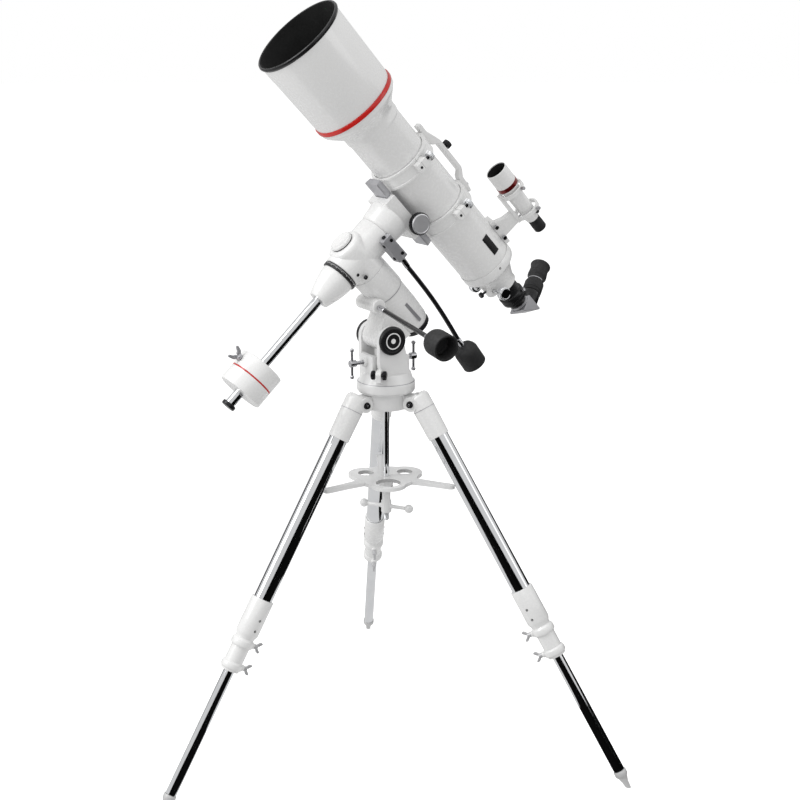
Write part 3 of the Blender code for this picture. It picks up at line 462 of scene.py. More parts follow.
def make_bracket(name, place):
    """A leg's top fitting with ears round the hub's lug, its seam and its hinge bolt."""
    bore = 19.3
    shell = lathe([(bore, -82.0), (21.0, -82.0), (21.5, -81.4), (22.4, -20.0), (22.4, 3.0), (21.0, 8.0),
                   (17.0, 12.0), (9.0, 14.4), (0.0, 15.0), (0.0, -26.0), (bore, -26.0)], 64,
                  (LEG_X, 0.0, 0.0))
    ears = [rod((0.0, side * 14.0, 0.0), (0.0, side * 22.9, 0.0), 15.0, 48) for side in (1.0, -1.0)]
    slot = brick((-40.0, -16.0, -18.0), (24.0, 16.0, 40.0))
    body = cut(joined(shell, *ears), slot)
    piece(f"{name}_bracket_casting", place, f"{name}_leg", WHITE, [body],
          [f"{name}_leg_bracket"], 0.9)
    seam = lathe([(21.6, -20.8), (22.75, -20.8), (22.75, -19.6), (21.6, -19.6)], 64, (LEG_X, 0.0, 0.0))
    piece(f"{name}_bracket_seam", place, f"{name}_leg", GREY, [seam], (), 0.2)
    shaft = rod((0.0, -23.0, 0.0), (0.0, 23.0, 0.0), 4.0, 24)
    heads = []
    for side in (1.0, -1.0):
        washer = lathe([(0.0, 23.0), (7.0, 23.0), (7.0, 24.2), (0.0, 24.2)], 32, (0.0, 0.0, 0.0),
                       (0.0, side, 0.0))
        heads += [washer, cap_screw(5.6, 5.0, (0.0, side * 24.0, 0.0), (0.0, side, 0.0))]
    piece(f"{name}_pivot_bolt", place, "tripod_head", DARK_STEEL, [shaft] + heads,
          [f"{name}_hinge_bolt"], 0.3)
    pins = [cap_screw(2.7, 5.2, (0.0, side * 23.8, 0.0), (0.0, side, 0.0)) for side in (1.0, -1.0)]
    piece(f"{name}_pivot_pins", place, "tripod_head", STEEL, pins, (), 0.1)


def make_leg_tubes(name, place):
    """The two chromed tubes, each with a wall."""
    upper = lathe([(17.2, -26.3), (17.2, -500.0), (19.0, -500.0), (19.0, -26.3)], 96, (LEG_X, 0.0, 0.0))
    piece(f"{name}_upper_tube", place, f"{name}_leg", CHROME, [upper],
          [f"{name}_upper_leg_tube"], 0.3)
    lower = lathe([(9.0, -302.3), (9.0, -837.8), (11.0, -837.8), (11.0, -302.3)], 80, (LEG_X, 0.0, 0.0))
    piece(f"{name}_lower_tube", place, f"{name}_lower_leg", CHROME, [lower],
          [f"{name}_lower_leg_tube"], 0.3)


def make_collar(name, place):
    """The lock collar: a sleeve, a waist and two bands that hold the lock screws."""
    outer = [(22.6, -426.0), (23.0, -427.0), (23.0, -497.0), (22.0, -500.0), (19.0, -506.0), (19.0, -509.0),
             (22.2, -512.5), (22.8, -514.0), (22.8, -523.0), (22.2, -524.5), (18.6, -527.0),
             (18.4, -558.0), (21.6, -560.5), (22.0, -562.0), (22.0, -570.0), (21.4, -571.5),
             (18.6, -573.5), (18.0, -577.0)]
    inner = [(11.3, -577.0), (11.3, -501.0), (19.3, -501.0), (19.3, -426.0)]
    shapes = [lathe(outer + inner, 72, (LEG_X, 0.0, 0.0))]
    for height in (UPPER_SCREW_HEIGHT, LOWER_SCREW_HEIGHT):
        shapes.append(lathe([(3.4, 17.0), (6.4, 17.0), (6.4, 27.0), (5.8, 27.6), (3.4, 27.6)], 28,
                            (LEG_X, 0.0, height), (-1.0, 0.0, 0.0)))
    piece(f"{name}_collar_casting", place, f"{name}_leg", WHITE, shapes,
          [f"{name}_leg_collar"], 0.5)
    screws = []
    for height in (-466.0, -488.0):
        screws.append(cap_screw(2.4, 1.2, (LEG_X, -22.5, height), (0.0, -1.0, 0.0)))
        screws.append(cap_screw(2.4, 1.2, (LEG_X, 22.5, height), (0.0, 1.0, 0.0)))
    piece(f"{name}_collar_screws", place, f"{name}_leg", DARK_STEEL, screws, (), 0.15)


def wing_screw(height, reach):
    """A lock screw that points out of a collar, with its two wings."""
    start = LEG_X - 11.6
    stem = lathe([(0.0, 0.0), (3.0, 0.0), (3.0, reach - 9.0), (5.0, reach - 8.0), (5.0, reach),
                  (4.0, reach + 1.0), (0.0, reach + 1.0)], 28, (start, 0.0, height), (-1.0, 0.0, 0.0))
    wings = []
    for side in (1.0, -1.0):
        outline = [(start - reach + 3.0, height + side * 2.0), (start - reach - 3.0, height + side * 9.0)]
        outline += [(x, height + side * y) for x, y in arc(3.0, 60.0, 180.0, 7, (start - reach - 7.0, 8.0))]
        outline += [(start - reach - 3.0, height + side * 2.0)]
        wings.append(plate(outline, -2.6, 2.6, ALONG_Y))
    return [stem] + wings


def make_leg_screws(name, place):
    """The upper lock screw, which the frame has too, and the lower one."""
    piece(f"{name}_upper_lock_screw", place, f"{name}_leg_lock", PALE_STEEL,
          wing_screw(UPPER_SCREW_HEIGHT, 25.0), [f"{name}_leg_screw"], 0.5)
    piece(f"{name}_lower_lock_screw", place, f"{name}_leg", PALE_STEEL,
          wing_screw(LOWER_SCREW_HEIGHT, 24.0), (), 0.5)


def make_foot(name, place):
    """The ferrule and its pointed tip, cut flat at the floor."""
    foot = lathe([(0.0, -882.0), (4.6, -882.0), (5.0, -876.0), (6.2, -864.4), (9.6, -853.5), (12.2, -849.5),
                  (12.9, -848.0), (12.9, -839.4), (12.2, -838.4), (0.0, -838.4)], 48, (LEG_X, 0.0, 0.0))
    drop = HINGE_HEIGHT / MM - 6.3
    slab = brick((200.0, -60.0, -drop - 50.0), (800.0, 60.0, -drop + 0.05))
    moved(slab, turn(LEG_LEAN, "Y"))
    piece(f"{name}_foot", place, f"{name}_lower_leg", FOOT, [cut(foot, slab)],
          [f"{name}_foot_tip"], 0.4)


# ---------------------------------------------------------------- base and polar axis

def make_azimuth_base():
    """The turning base, its fork, the screw walls and the lug between the azimuth screws."""
    base = lathe([(0.0, 14.3), (56.5, 14.3), (58.0, 15.4), (58.5, 17.0), (58.5, 30.0), (57.6, 32.6),
                  (54.5, 36.0), (49.4, 50.5), (48.0, 52.0), (0.0, 52.0)], 96)
    side = [(-34.0, 45.0), (30.0, 45.0), (25.2, 70.0), (24.4, 84.0)]
    side += arc(27.0, 0.0, 180.0, 41, (PIVOT.x, PIVOT.z))
    side += [(-39.0, 80.0)]
    shapes = [base]
    for sign in (1.0, -1.0):
        cheek = plate(side, min(sign * 30.3, sign * 42.0), max(sign * 30.3, sign * 42.0), ALONG_Y)
        shapes.append(cut(cheek, rod((PIVOT.x, -60.0, PIVOT.z), (PIVOT.x, 60.0, PIVOT.z), 7.3, 32)))
    north = brick((-46.0, -26.0, 45.0), (-36.0, 26.0, 90.0))
    south = brick((26.0, -31.0, 45.0), (36.0, 31.0, 86.0))
    for wall in (north, south):
        shapes.append(cut(wall, rod((-60.0, 0.0, SCREW_HEIGHT), (60.0, 0.0, SCREW_HEIGHT), 4.4, 32)))
    for x, outward in ((-46.0, -1.0), (36.0, 1.0)):
        shapes.append(lathe([(4.4, 0.0), (10.0, 0.0), (9.0, 6.0), (8.4, 6.6), (4.4, 6.6)], 40,
                            (x, 0.0, SCREW_HEIGHT), (outward, 0.0, 0.0)))
    angle = math.radians(LUG_TURN)
    centre = Vector((LUG_RADIUS * math.cos(angle), LUG_RADIUS * math.sin(angle), LUG_HEIGHT))
    place = shift(*centre) @ turn(LUG_TURN, "Z")
    lug = plate([(-12.0, -20.0), (8.0, -14.0)] + arc(8.0, -30.0, 90.0, 12, (0.0, 1.0)) + [(-12.0, 9.0)],
                -5.5, 5.5, ALONG_Y)
    shapes.append(moved(lug, place))
    piece("fork_and_base", MOUNT, "azimuth", CAST_WHITE, shapes, ["azimuth_base"], 1.4)
    seam = lathe([(56.6, 33.0), (57.6, 33.0), (57.1, 34.2), (56.0, 34.2)], 96)
    piece("base_seam", MOUNT, "azimuth", GREY, [seam], (), 0.2)
    for name, sign in (("west", -1.0), ("north", 1.0)):
        out = Vector((-math.sin(angle), math.cos(angle), 0.0)) * sign
        stem = lathe([(0.0, 0.8), (3.0, 0.8), (3.0, 9.0), (0.0, 9.0)], 28, centre, out)
        grip = knurled(9.0, 7.6, 15.0, 20, centre, out, 0.9, 1.2)
        nose = lathe([(0.0, 14.5), (5.5, 14.5), (5.0, 16.0), (0.0, 16.0)], 28, centre, out)
        piece(f"{name}_azimuth_knob", MOUNT, f"{name}_azimuth_knob", DARK_STEEL,
              [stem, grip, nose], [f"{name}_azimuth_screw"], 0.2)


def make_latitude_screws():
    """The two T screws with ball-ended bars."""
    thread_pitch = 1.4
    for name, tip, head in (("north", -20.6, -77.0), ("south", -3.4, 64.0)):
        outward = 1.0 if head > tip else -1.0
        reach = abs(head - tip)
        stem = [(0.0, 0.0), (2.5, 0.0), (3.6, 3.0)]
        height = 4.0
        while height < reach - 9.0:
            stem += [(4.0, height), (3.5, height + 0.7)]
            height += thread_pitch
        stem += [(4.0, reach - 8.0), (7.0, reach - 8.0), (7.0, reach + 4.4), (6.4, reach + 5.0),
                 (0.0, reach + 5.0)]
        screw = lathe(stem, 32, (tip, 0.0, SCREW_HEIGHT), (outward, 0.0, 0.0))
        bar = lathe([(0.0, -31.0), (2.6, -30.5), (4.2, -28.6), (4.5, -27.0), (4.0, -25.0), (2.5, -23.5),
                     (2.5, 23.5), (4.0, 25.0), (4.5, 27.0), (4.2, 28.6), (2.6, 30.5), (0.0, 31.0)], 28,
                    (head, 0.0, SCREW_HEIGHT))
        piece(f"{name}_latitude_tee", MOUNT, f"{name}_latitude_knob", STEEL, [screw, bar],
              [f"{name}_latitude_screw"], 0.3)


def head_point(x, y, z):
    """A head-frame point in the mount frame's coordinates."""
    return HEAD_IN_MOUNT @ Vector((x, y, z))


def make_polar_housing():
    """The polar housing with its worm barrel, and what is on it."""
    down = head_point(0, 0, -1) - head_point(0, 0, 0)
    centre = head_point(0, 0, 0)
    body = lathe([(0.0, 39.3), (37.6, 39.3), (38.5, 40.2), (38.5, 95.0), (37.8, 97.4), (36.6, 98.6),
                  (36.4, 101.0), (35.0, 150.0), (32.0, 186.0), (30.4, 193.0), (28.6, 196.0), (0.0, 196.0)],
                 88, centre, down)
    worm = lathe([(0.0, 0.0), (12.6, 0.0), (14.0, 1.4), (14.0, 70.6), (12.6, 72.0), (0.0, 72.0)], 56,
                 head_point(-42, -42, -88), ALONG_Y)
    low = head_point(-30, 0, -190)
    high = head_point(-30, 0, -112)
    swing = arc(25.0, 150.0, 330.0, 31, (PIVOT.x, PIVOT.z))
    lug = plate([(high.x, high.z)] + swing + [(low.x, low.z)], -29.7, 29.7, ALONG_Y)
    lug = cut(lug, rod((PIVOT.x, -60.0, PIVOT.z), (PIVOT.x, 60.0, PIVOT.z), 7.3, 32))
    tongue = brick((PIVOT.x - 7.6, -12.0, SCREW_HEIGHT - 10.0), (PIVOT.x + 7.6, 12.0, PIVOT.z - 10.0))
    piece("polar_casting", MOUNT, "polar", WHITE, [body, worm, lug, tongue],
          ["polar_housing"], 1.1)
    seam = lathe([(36.0, 97.6), (38.0, 97.6), (37.4, 99.4), (36.0, 99.4)], 88, centre, down)
    piece("polar_seam", MOUNT, "polar", GREY, [seam], (), 0.2)
    cap = lathe([(0.0, 196.3), (28.6, 196.3), (29.5, 197.4), (29.5, 202.0), (28.4, 205.4), (25.6, 208.0),
                 (0.0, 208.0)], 72, centre, down)
    piece("lower_cap", MOUNT, "polar", BLACK, [cap], ["polar_scope_cap"], 0.4)
    pin = rod((PIVOT.x, -43.0, PIVOT.z), (PIVOT.x, 43.0, PIVOT.z), 7.0, 32)
    shapes = [pin]
    for side in (1.0, -1.0):
        shapes.append(lathe([(0.0, 42.3), (28.5, 42.3), (28.5, 47.6), (27.4, 49.4), (25.6, 50.5),
                             (22.0, 50.5), (21.2, 49.6), (0.0, 49.6)], 72, PIVOT, (0.0, side, 0.0)))
    piece("pivot_caps", MOUNT, "polar", BLACK, shapes, ["latitude_pivot"], 0.3)
    rings = []
    for side in (1.0, -1.0):
        rings.append(lathe([(14.2, 49.4), (16.4, 49.4), (16.4, 50.2), (14.2, 50.2)], 64, PIVOT,
                           (0.0, side, 0.0)))
        rings.append(lathe([(0.0, 49.4), (5.0, 49.4), (5.0, 50.2), (0.0, 50.2)], 48, PIVOT,
                           (0.0, side, 0.0)))
    piece("pivot_cap_rings", MOUNT, "polar", TICK, rings, (), 0.1)
    plate_place = HEAD @ turn(-86.0, "Z")
    strip = brick((33.6, -3.4, -182.0), (35.0, 3.4, -132.0))
    piece("polar_blank_strip", plate_place @ shift(0.9, 0.0, 0.0), "polar", GREY,
          [strip], (), 0.4)


# ---------------------------------------------------------------- declination axis

def make_dec_housing():
    """The declination housing and what is fixed to it."""
    across = lathe([(0.0, -42.5), (35.8, -42.5), (37.2, -41.2), (38.0, -38.0), (38.0, 63.0), (37.2, 65.4),
                    (36.0, 66.3), (0.0, 66.3)], 88, (0.0, 0.0, 0.0), ALONG_X)
    upright = lathe([(0.0, -39.0), (37.8, -39.0), (38.5, -38.2), (38.5, -20.0), (37.9, 12.0), (37.0, 30.0),
                     (34.8, 36.0), (31.0, 39.2), (27.0, 40.0), (0.0, 40.0)], 88)
    piece("dec_casting", HEAD, "declination", WHITE, [across, upright], ["dec_housing"], 0.9)
    block = brick((44.0, -53.0, -55.0), (66.2, -28.0, 2.0))
    boss = lathe([(0.0, 0.0), (9.5, 0.0), (9.5, 9.0), (8.5, 10.0), (0.0, 10.0)], 40, (55.0, -44.0, -47.0),
                 (0.0, 0.0, -1.0))
    piece("dec_worm_block", HEAD, "declination", GREY, [block, moved(boss, shift(0, 0, 2))],
          (), 2.6)
    screws = [cap_screw(3.4, 2.0, (60.0, -53.0, -8.0), (0.0, -1.0, 0.0)),
              cap_screw(3.4, 2.0, (60.0, -53.0, -44.0), (0.0, -1.0, 0.0)),
              cap_screw(3.4, 2.0, (44.2, -44.0, -10.0), (-1.0, 0.0, 0.0)),
              cap_screw(3.4, 2.0, (44.2, -44.0, -44.0), (-1.0, 0.0, 0.0)),
              cap_screw(4.2, 3.0, (55.0, -44.0, 2.0), (0.0, 0.0, 1.0))]
    piece("dec_block_screws", HEAD, "declination", DARK_STEEL, screws, (), 0.2)
    cap = lathe([(0.0, 40.3), (21.4, 40.3), (22.6, 41.2), (23.0, 42.4), (23.0, 45.4), (22.2, 47.2),
                 (20.6, 48.5), (19.0, 47.6), (0.0, 47.6)], 72)
    piece("window_cap", HEAD, "declination", WHITE, [cap], ["polar_window_cap"], 0.2)
    rim = lathe([(22.4, 40.6), (23.25, 40.6), (23.25, 42.2), (22.4, 42.2)], 72)
    piece("window_cap_rim", HEAD, "declination", BLACK, [rim], (), 0.15)
    circle = lathe([(0.0, -51.5), (35.8, -51.5), (36.8, -50.8), (36.8, -43.4), (36.0, -42.8), (0.0, -42.8)],
                   96, (0.0, 0.0, 0.0), ALONG_X)
    piece("setting_circle", HEAD, "declination", BLACK, [circle],
          ["dec_setting_circle"], 0.2)
    ticks = []
    for i in range(90):
        length = 3.8 if i % 5 == 0 else 2.2
        tick = brick((-45.0 - length, -0.28, 36.6), (-45.0, 0.28, 36.95))
        ticks.append(moved(tick, turn(i * 4.0, "X")))
    piece("setting_circle_ticks", HEAD, "declination", TICK, ticks, (), 0.0)
    cone = lathe([(10.4, -112.0), (19.4, -112.0), (20.6, -111.0), (23.0, -104.0), (29.2, -84.0),
                  (32.8, -66.0), (34.0, -53.0), (33.6, -51.8), (0.0, -51.8), (0.0, -90.0), (10.4, -90.0)],
                 80, (0.0, 0.0, 0.0), ALONG_X)
    piece("shaft_nose", HEAD, "declination", WHITE, [cone], ["shaft_cone"], 0.5)
    shaft = lathe([(0.0, -371.0), (10.0, -371.0), (10.0, -90.3), (0.0, -90.3)], 80, (0.0, 0.0, 0.0), ALONG_X)
    stop = lathe([(0.0, -379.0), (12.5, -379.0), (14.0, -377.4), (14.0, -372.0), (13.2, -371.0),
                  (0.0, -371.0)], 48, (0.0, 0.0, 0.0), ALONG_X)
    piece("weight_shaft", HEAD, "declination", CHROME, [shaft], ["counterweight_shaft"], 0.3)
    piece("shaft_safety_stop", HEAD, "declination", SATIN_BLACK, [stop], (), 0.3)
    lock = [cap_screw(3.0, 3.0, (-30.0, -35.6, -10.0), (-0.1, -1.0, -0.28)),
            cap_screw(4.2, 5.0, (-22.0, -35.4, -25.0), (0.0, -1.0, -0.75))]
    piece("dec_lock_screws", HEAD, "declination", DARK_STEEL, lock, (), 0.2)


def make_weight():
    """The counterweight with its red line, and its wing screw."""
    near, far = -344.0, -276.0
    profile = [(10.4, near), (42.6, near), (44.4, near + 0.8), (45.0, near + 2.4)]
    profile += [(45.0, -311.5), (44.3, -311.2), (44.3, -308.4), (45.0, -308.1)]
    profile += [(45.0, far - 2.4), (44.4, far - 0.8), (42.6, far), (10.4, far)]
    weight = lathe(profile, 120, (0.0, 0.0, 0.0), ALONG_X)
    boss = lathe([(4.4, 43.8), (9.0, 43.8), (9.0, 45.0), (4.4, 45.0)], 40, (-296.0, 0.0, 0.0))
    piece("weight_body", HEAD, "weight", WHITE, [weight, boss], ["counterweight"], 0.2)
    line = lathe([(44.0, -311.1), (44.8, -311.1), (44.8, -308.5), (44.0, -308.5)], 120, (0.0, 0.0, 0.0),
                 ALONG_X)
    piece("weight_red_line", HEAD, "weight", RED, [line], (), 0.1)
    x = -296.0
    stem = rod((x, 0.0, 10.9), (x, 0.0, 47.0), 4.0, 28)
    collar = lathe([(0.0, 46.0), (6.6, 46.0), (7.0, 46.6), (7.0, 52.0), (0.0, 54.0)], 40, (x, 0.0, 0.0))
    wings = []
    for side in (1.0, -1.0):
        outline = [(x + side * 1.0, 49.0), (x + side * 6.0, 49.6), (x + side * 11.0, 55.0)]
        outline += [(x + side * px, pz) for px, pz in arc(2.6, -20.0, 160.0, 9, (11.2, 64.6))]
        outline += [(x + side * 5.0, 59.0), (x + side * 1.0, 57.0)]
        wings.append(plate(outline, -2.6, 2.6, ALONG_Y))
    piece("weight_wing_screw", HEAD, "weight_lock", GREY, [collar] + wings,
          ["counterweight_screw"], 0.9)
    piece("weight_screw_stem", HEAD, "weight_lock", DARK_STEEL, [stem], (), 0.2)


def bowed_sheath(start, out, low, high, radius, bow):
    """A round sheath between two distances along a line, bowed to +X in one shallow arc."""
    line = out.normalized()
    side = (Vector(ALONG_X) - line * line.x).normalized()
    across = line.cross(side)
    steps, sides = 40, 32
    rings = []
    bm = bmesh.new()
    for i in range(steps + 1):
        part = i / steps
        middle = start + line * (low + (high - low) * part) + side * bow * math.sin(math.pi * part)
        ring = []
        for j in range(sides):
            angle = math.tau * j / sides
            ring.append(bm.verts.new(middle + (side * math.cos(angle) + across * math.sin(angle)) * radius))
        rings.append(ring)
    for lower, upper in zip(rings, rings[1:]):
        for j in range(sides):
            k = (j + 1) % sides
            bm.faces.new((lower[j], lower[k], upper[k], upper[j]))
    bm.faces.new(rings[0])
    bm.faces.new(rings[-1])
    return loose(bm)


def make_control_shaft(name, body, still_body, start, end, bow, stands_for):
    """A slow-motion shaft: metal ferrules, a sheath that keeps its bow as it spins, and a cupped knob."""
    start, end = Vector(start), Vector(end)
    out = end - start
    length = out.length
    knob = length - 52.0
    ferrule = lathe([(0.0, 0.0), (5.2, 0.0), (5.7, 0.5), (5.7, 21.0), (4.9, 22.6), (0.0, 22.6)], 40,
                    start, out)
    second = lathe([(0.0, knob - 19.0), (5.0, knob - 19.0), (5.7, knob - 18.0), (5.7, knob + 2.5),
                    (0.0, knob + 2.5)], 40, start, out)
    piece(f"{name}_ferrules", HEAD, body, STEEL, [ferrule, second], (), 0.3)
    cover = bowed_sheath(start, out, 22.0, knob - 18.6, 4.7, bow)
    piece(f"{name}_sheath", HEAD, still_body, GLOSS_BLACK, [cover], (), 0.1)
    grip = lathe([(0.0, knob + 2.0), (15.0, knob + 2.0), (19.0, knob + 3.4), (22.8, knob + 9.0),
                  (24.4, knob + 13.0), (25.0, knob + 17.0), (25.0, length - 1.4), (24.2, length),
                  (21.6, length), (20.8, length - 1.0), (20.0, length - 28.0), (18.0, length - 30.0),
                  (0.0, length - 30.0)], 88, start, out)
    piece(f"{name}_knob", HEAD, body, RUBBER, [grip], [stands_for], 0.3)


def make_saddle():
    """The saddle head, its seat and the clamp knob."""
    neck = lathe([(0.0, 66.6), (35.4, 66.6), (37.0, 67.6), (39.0, 70.4), (40.0, 80.0), (41.2, 92.0),
                  (43.0, 101.0), (43.0, 106.0), (0.0, 106.0)], 88, (0.0, 0.0, 0.0), ALONG_X)
    seat = plate([(104.0, -35.0), (130.0, -35.0), (130.0, -22.7), (118.5, -22.7), (118.5, 22.7),
                  (130.0, 22.7), (130.0, 35.0), (104.0, 35.0)], -57.0, 41.0)
    seat = cut(seat, rod((124.3, -20.0, -31.0), (124.3, -40.0, -31.0), 4.4, 28))
    piece("saddle_casting", HEAD, "cradle", WHITE, [neck, seat], ["saddle_head"], 1.3)
    stem = rod((124.3, -23.0, -31.0), (124.3, -46.0, -31.0), 4.0, 28)
    base = lathe([(0.0, 43.0), (8.0, 43.0), (9.4, 45.0), (10.6, 48.6), (0.0, 49.4)], 56,
                 (124.3, 0.0, -31.0), (0.0, -1.0, 0.0))
    grip = knurled(22.0, 48.8, 59.6, 60, (124.3, 0.0, -31.0), (0.0, -1.0, 0.0), 0.7, 1.3)
    face = lathe([(0.0, 59.0), (20.0, 59.0), (19.4, 61.2), (17.4, 62.0), (16.4, 61.0), (0.0, 61.0)], 72,
                 (124.3, 0.0, -31.0), (0.0, -1.0, 0.0))
    piece("saddle_knob", HEAD, "saddle_knob", DARK_STEEL, [stem, base, grip],
          ["saddle_clamp_knob"], 0.15)
    piece("saddle_knob_face", HEAD, "saddle_knob", STEEL_FACE, [face], (), 0.15)


# ---------------------------------------------------------------- cradle and tube

def make_bar():
    """The dovetail bar under the rings."""
    bar = plate([(-78.0, -22.4), (-74.0, -22.4), (-64.1, -19.0), (-64.1, 19.0), (-74.0, 22.4), (-78.0, 22.4)],
                -94.0, 76.0)
    piece("dovetail", TUBE, "cradle", GREY, [bar], ["dovetail_bar"], 0.6)


def make_ring(name, z):
    """One split ring: the lower half on the bar, the upper half with its hinge and clamp knob."""
    low, high = z - 15.0, z + 15.0
    outer, inner, split = 63.5, 57.0, 0.2
    groove = 1.1
    edge_low, edge_high = low + 5.0, high - 5.0

    def band(start, end):
        """A half ring with a raised rim at each side of a shallow channel."""
        channel = arc(outer - groove, start, end, 65) + arc(inner, end, start, 65)
        shapes = [plate(channel, low + 1.0, high - 1.0)]
        for a, b in ((low, edge_low), (edge_high, high)):
            shapes.append(plate(arc(outer, start, end, 65) + arc(inner + 0.1, end, start, 65), a, b))
        return shapes

    lower = band(90.2, 269.8)
    lower.append(plate([(-63.8, -18.0), (-58.5, -18.0), (-58.5, 18.0), (-63.8, 18.0)], low + 1.0, high - 1.0))
    lower.append(brick((-11.0, -79.0, z - 9.0), (-split, -60.0, z + 9.0)))
    lower.append(brick((-9.0, 60.0, z - 14.0), (-split, 65.5, z + 14.0)))
    for a, b in ((-14.0, -5.3), (5.3, 14.0)):
        lower.append(brick((-7.0, 64.0, z + a), (-split, 69.0, z + b)))
        lower.append(rod((0.0, 69.0, z + a), (0.0, 69.0, z + b), 4.5, 32))
    piece(f"{name}_ring_lower_half", TUBE, "cradle", WHITE, lower,
          [f"{name}_ring_lower"], 0.6)
    upper = band(-89.8, 89.8)
    upper.append(brick((split, -79.0, z - 9.0), (13.0, -60.0, z + 9.0)))
    upper.append(brick((split, 61.0, z - 4.5), (7.0, 69.0, z + 4.5)))
    upper.append(rod((0.0, 69.0, z - 4.7), (0.0, 69.0, z + 4.7), 4.5, 32))
    upper.append(brick((60.0, -10.0, low + 1.0), (66.5, 10.0, high - 1.0)))
    piece(f"{name}_ring_upper_half", TUBE, "ring_tops", WHITE, upper, [f"{name}_ring_upper"],
          0.6)
    stem = rod((12.5, -71.0, z), (21.0, -71.0, z), 3.0, 28)
    piece(f"{name}_ring_bolt", TUBE, "ring_tops", DARK_STEEL, [stem], (), 0.2)
    grip = knurled(9.5, 19.6, 30.0, 26, (0.0, -71.0, z), ALONG_X, 0.7, 1.1)
    piece(f"{name}_ring_clamp_knob", TUBE, "ring_tops", CHROME, [grip], (), 0.15)
    pins = [cap_screw(2.6, 1.4, (-6.0, -79.0, z), (0.0, -1.0, 0.0)),
            cap_screw(2.6, 1.4, (0.0, 69.0, z + 13.4), UP)]
    piece(f"{name}_ring_pins", TUBE, "cradle", DARK_STEEL, pins, (), 0.15)


def make_carrying_bar():
    """The arched bar across the ring tops with its camera screw."""
    base = 66.8
    outline = [(base, 84.0), (base, 40.0), (base + 3.0, 33.0), (base + 12.0, 26.0), (base + 12.0, -46.0),
               (base + 3.0, -53.0), (base, -60.0), (base, -96.0), (base + 6.0, -96.0), (base + 9.0, -80.0),
               (base + 10.0, -62.0), (base + 17.0, -52.0), (base + 21.0, -44.0), (base + 21.0, 28.0),
               (base + 17.0, 42.0), (base + 10.0, 62.0), (base + 10.0, 84.0)]
    bar = plate(outline, -8.0, 8.0, ALONG_Y)
    lip = knurled(9.0, base + 24.0, base + 33.6, 24, (0.0, 0.0, 8.0), ALONG_X, 0.7, 1.0)
    stem = rod((base + 18.0, 0.0, 8.0), (base + 26.0, 0.0, 8.0), 4.0, 28)
    piece("ring_bar", TUBE, "ring_tops", WHITE, [bar], ["carrying_bar"], 2.0)
    piece("camera_screw", TUBE, "ring_tops", SATIN_BLACK, [lip, stem], (), 0.2)
    screws = [cap_screw(4.0, 3.0, (base + 8.4, 0.0, z), ALONG_X) for z in (74.0, -82.0)]
    piece("ring_bar_screws", TUBE, "ring_tops", STEEL, screws, (), 0.2)


def make_main_tube():
    """The white tube with its flare, the shield with its red ring and dark lip, the linings and lens."""
    wall = 54.7
    outside = [(56.5, -240.0), (56.5, 149.0), (57.2, 151.0), (58.3, 153.0), (58.5, 156.0), (58.5, 166.0),
               (59.4, 170.0), (62.4, 175.0), (72.0, 186.0), (80.0, 195.0), (83.6, 199.4), (84.5, 202.0),
               (84.5, 209.0)]
    inside = [(72.0, 209.0), (66.0, 200.0), (wall, 196.0), (wall, -240.0)]
    piece("tube_and_cell", TUBE, "optical_tube", WHITE, [lathe(outside + inside, 160)],
          ["main_tube"], 0.3)
    lining = lathe([(54.3, -239.0), (54.6, -239.0), (54.6, 176.0), (54.3, 176.0)], 96)
    piece("tube_lining", TUBE, "optical_tube", FLOCK, [lining], (), 0.0)
    ring = lathe([(82.0, 209.2), (86.2, 209.2), (87.0, 210.2), (87.0, 216.4), (86.2, 217.6), (82.0, 217.6)],
                 160)
    piece("shield_red_ring", TUBE, "optical_tube", RED, [ring], (), 0.3)
    shield = lathe([(82.4, 217.8), (84.4, 217.8), (84.8, 219.0), (87.5, 372.0), (84.6, 372.0),
                    (82.4, 220.0)], 160)
    lip = lathe([(84.8, 372.2), (87.6, 372.2), (89.2, 374.0), (90.4, 376.4), (89.8, 379.2), (88.2, 380.3),
                 (86.4, 380.0), (85.2, 378.6)], 160)
    piece("shield_shell", TUBE, "optical_tube", WHITE, [shield], ["dew_shield"], 0.2)
    piece("shield_front_lip", TUBE, "optical_tube", SATIN_BLACK, [lip], (), 0.2)
    liner = lathe([(81.7, 214.0), (82.3, 214.0), (84.5, 371.0), (85.2, 378.9), (84.6, 379.4), (83.9, 372.0)],
                  120)
    piece("shield_lining", TUBE, "optical_tube", FLOCK, [liner], (), 0.0)
    lens = lathe([(0.0, 178.0), (54.2, 180.0), (54.2, 190.0), (46.0, 192.2), (30.0, 194.2), (0.0, 195.0)], 96)
    piece("front_lens", TUBE, "optical_tube", LENS, [lens], ["objective_lens"], 0.2)
    retainer = lathe([(48.0, 195.4), (72.0, 198.0), (81.6, 212.6), (81.6, 214.0), (70.0, 200.4),
                      (50.0, 197.4)], 120)
    piece("cell_retainer", TUBE, "optical_tube", FLOCK, [retainer], (), 0.0)
    label = plate(arc(57.05, -86.0, -69.0, 12) + arc(56.55, -69.0, -86.0, 12), -205.0, -160.0)
    piece("blank_plate", TUBE, "optical_tube", SATIN_BLACK, [label], (), 0.1)


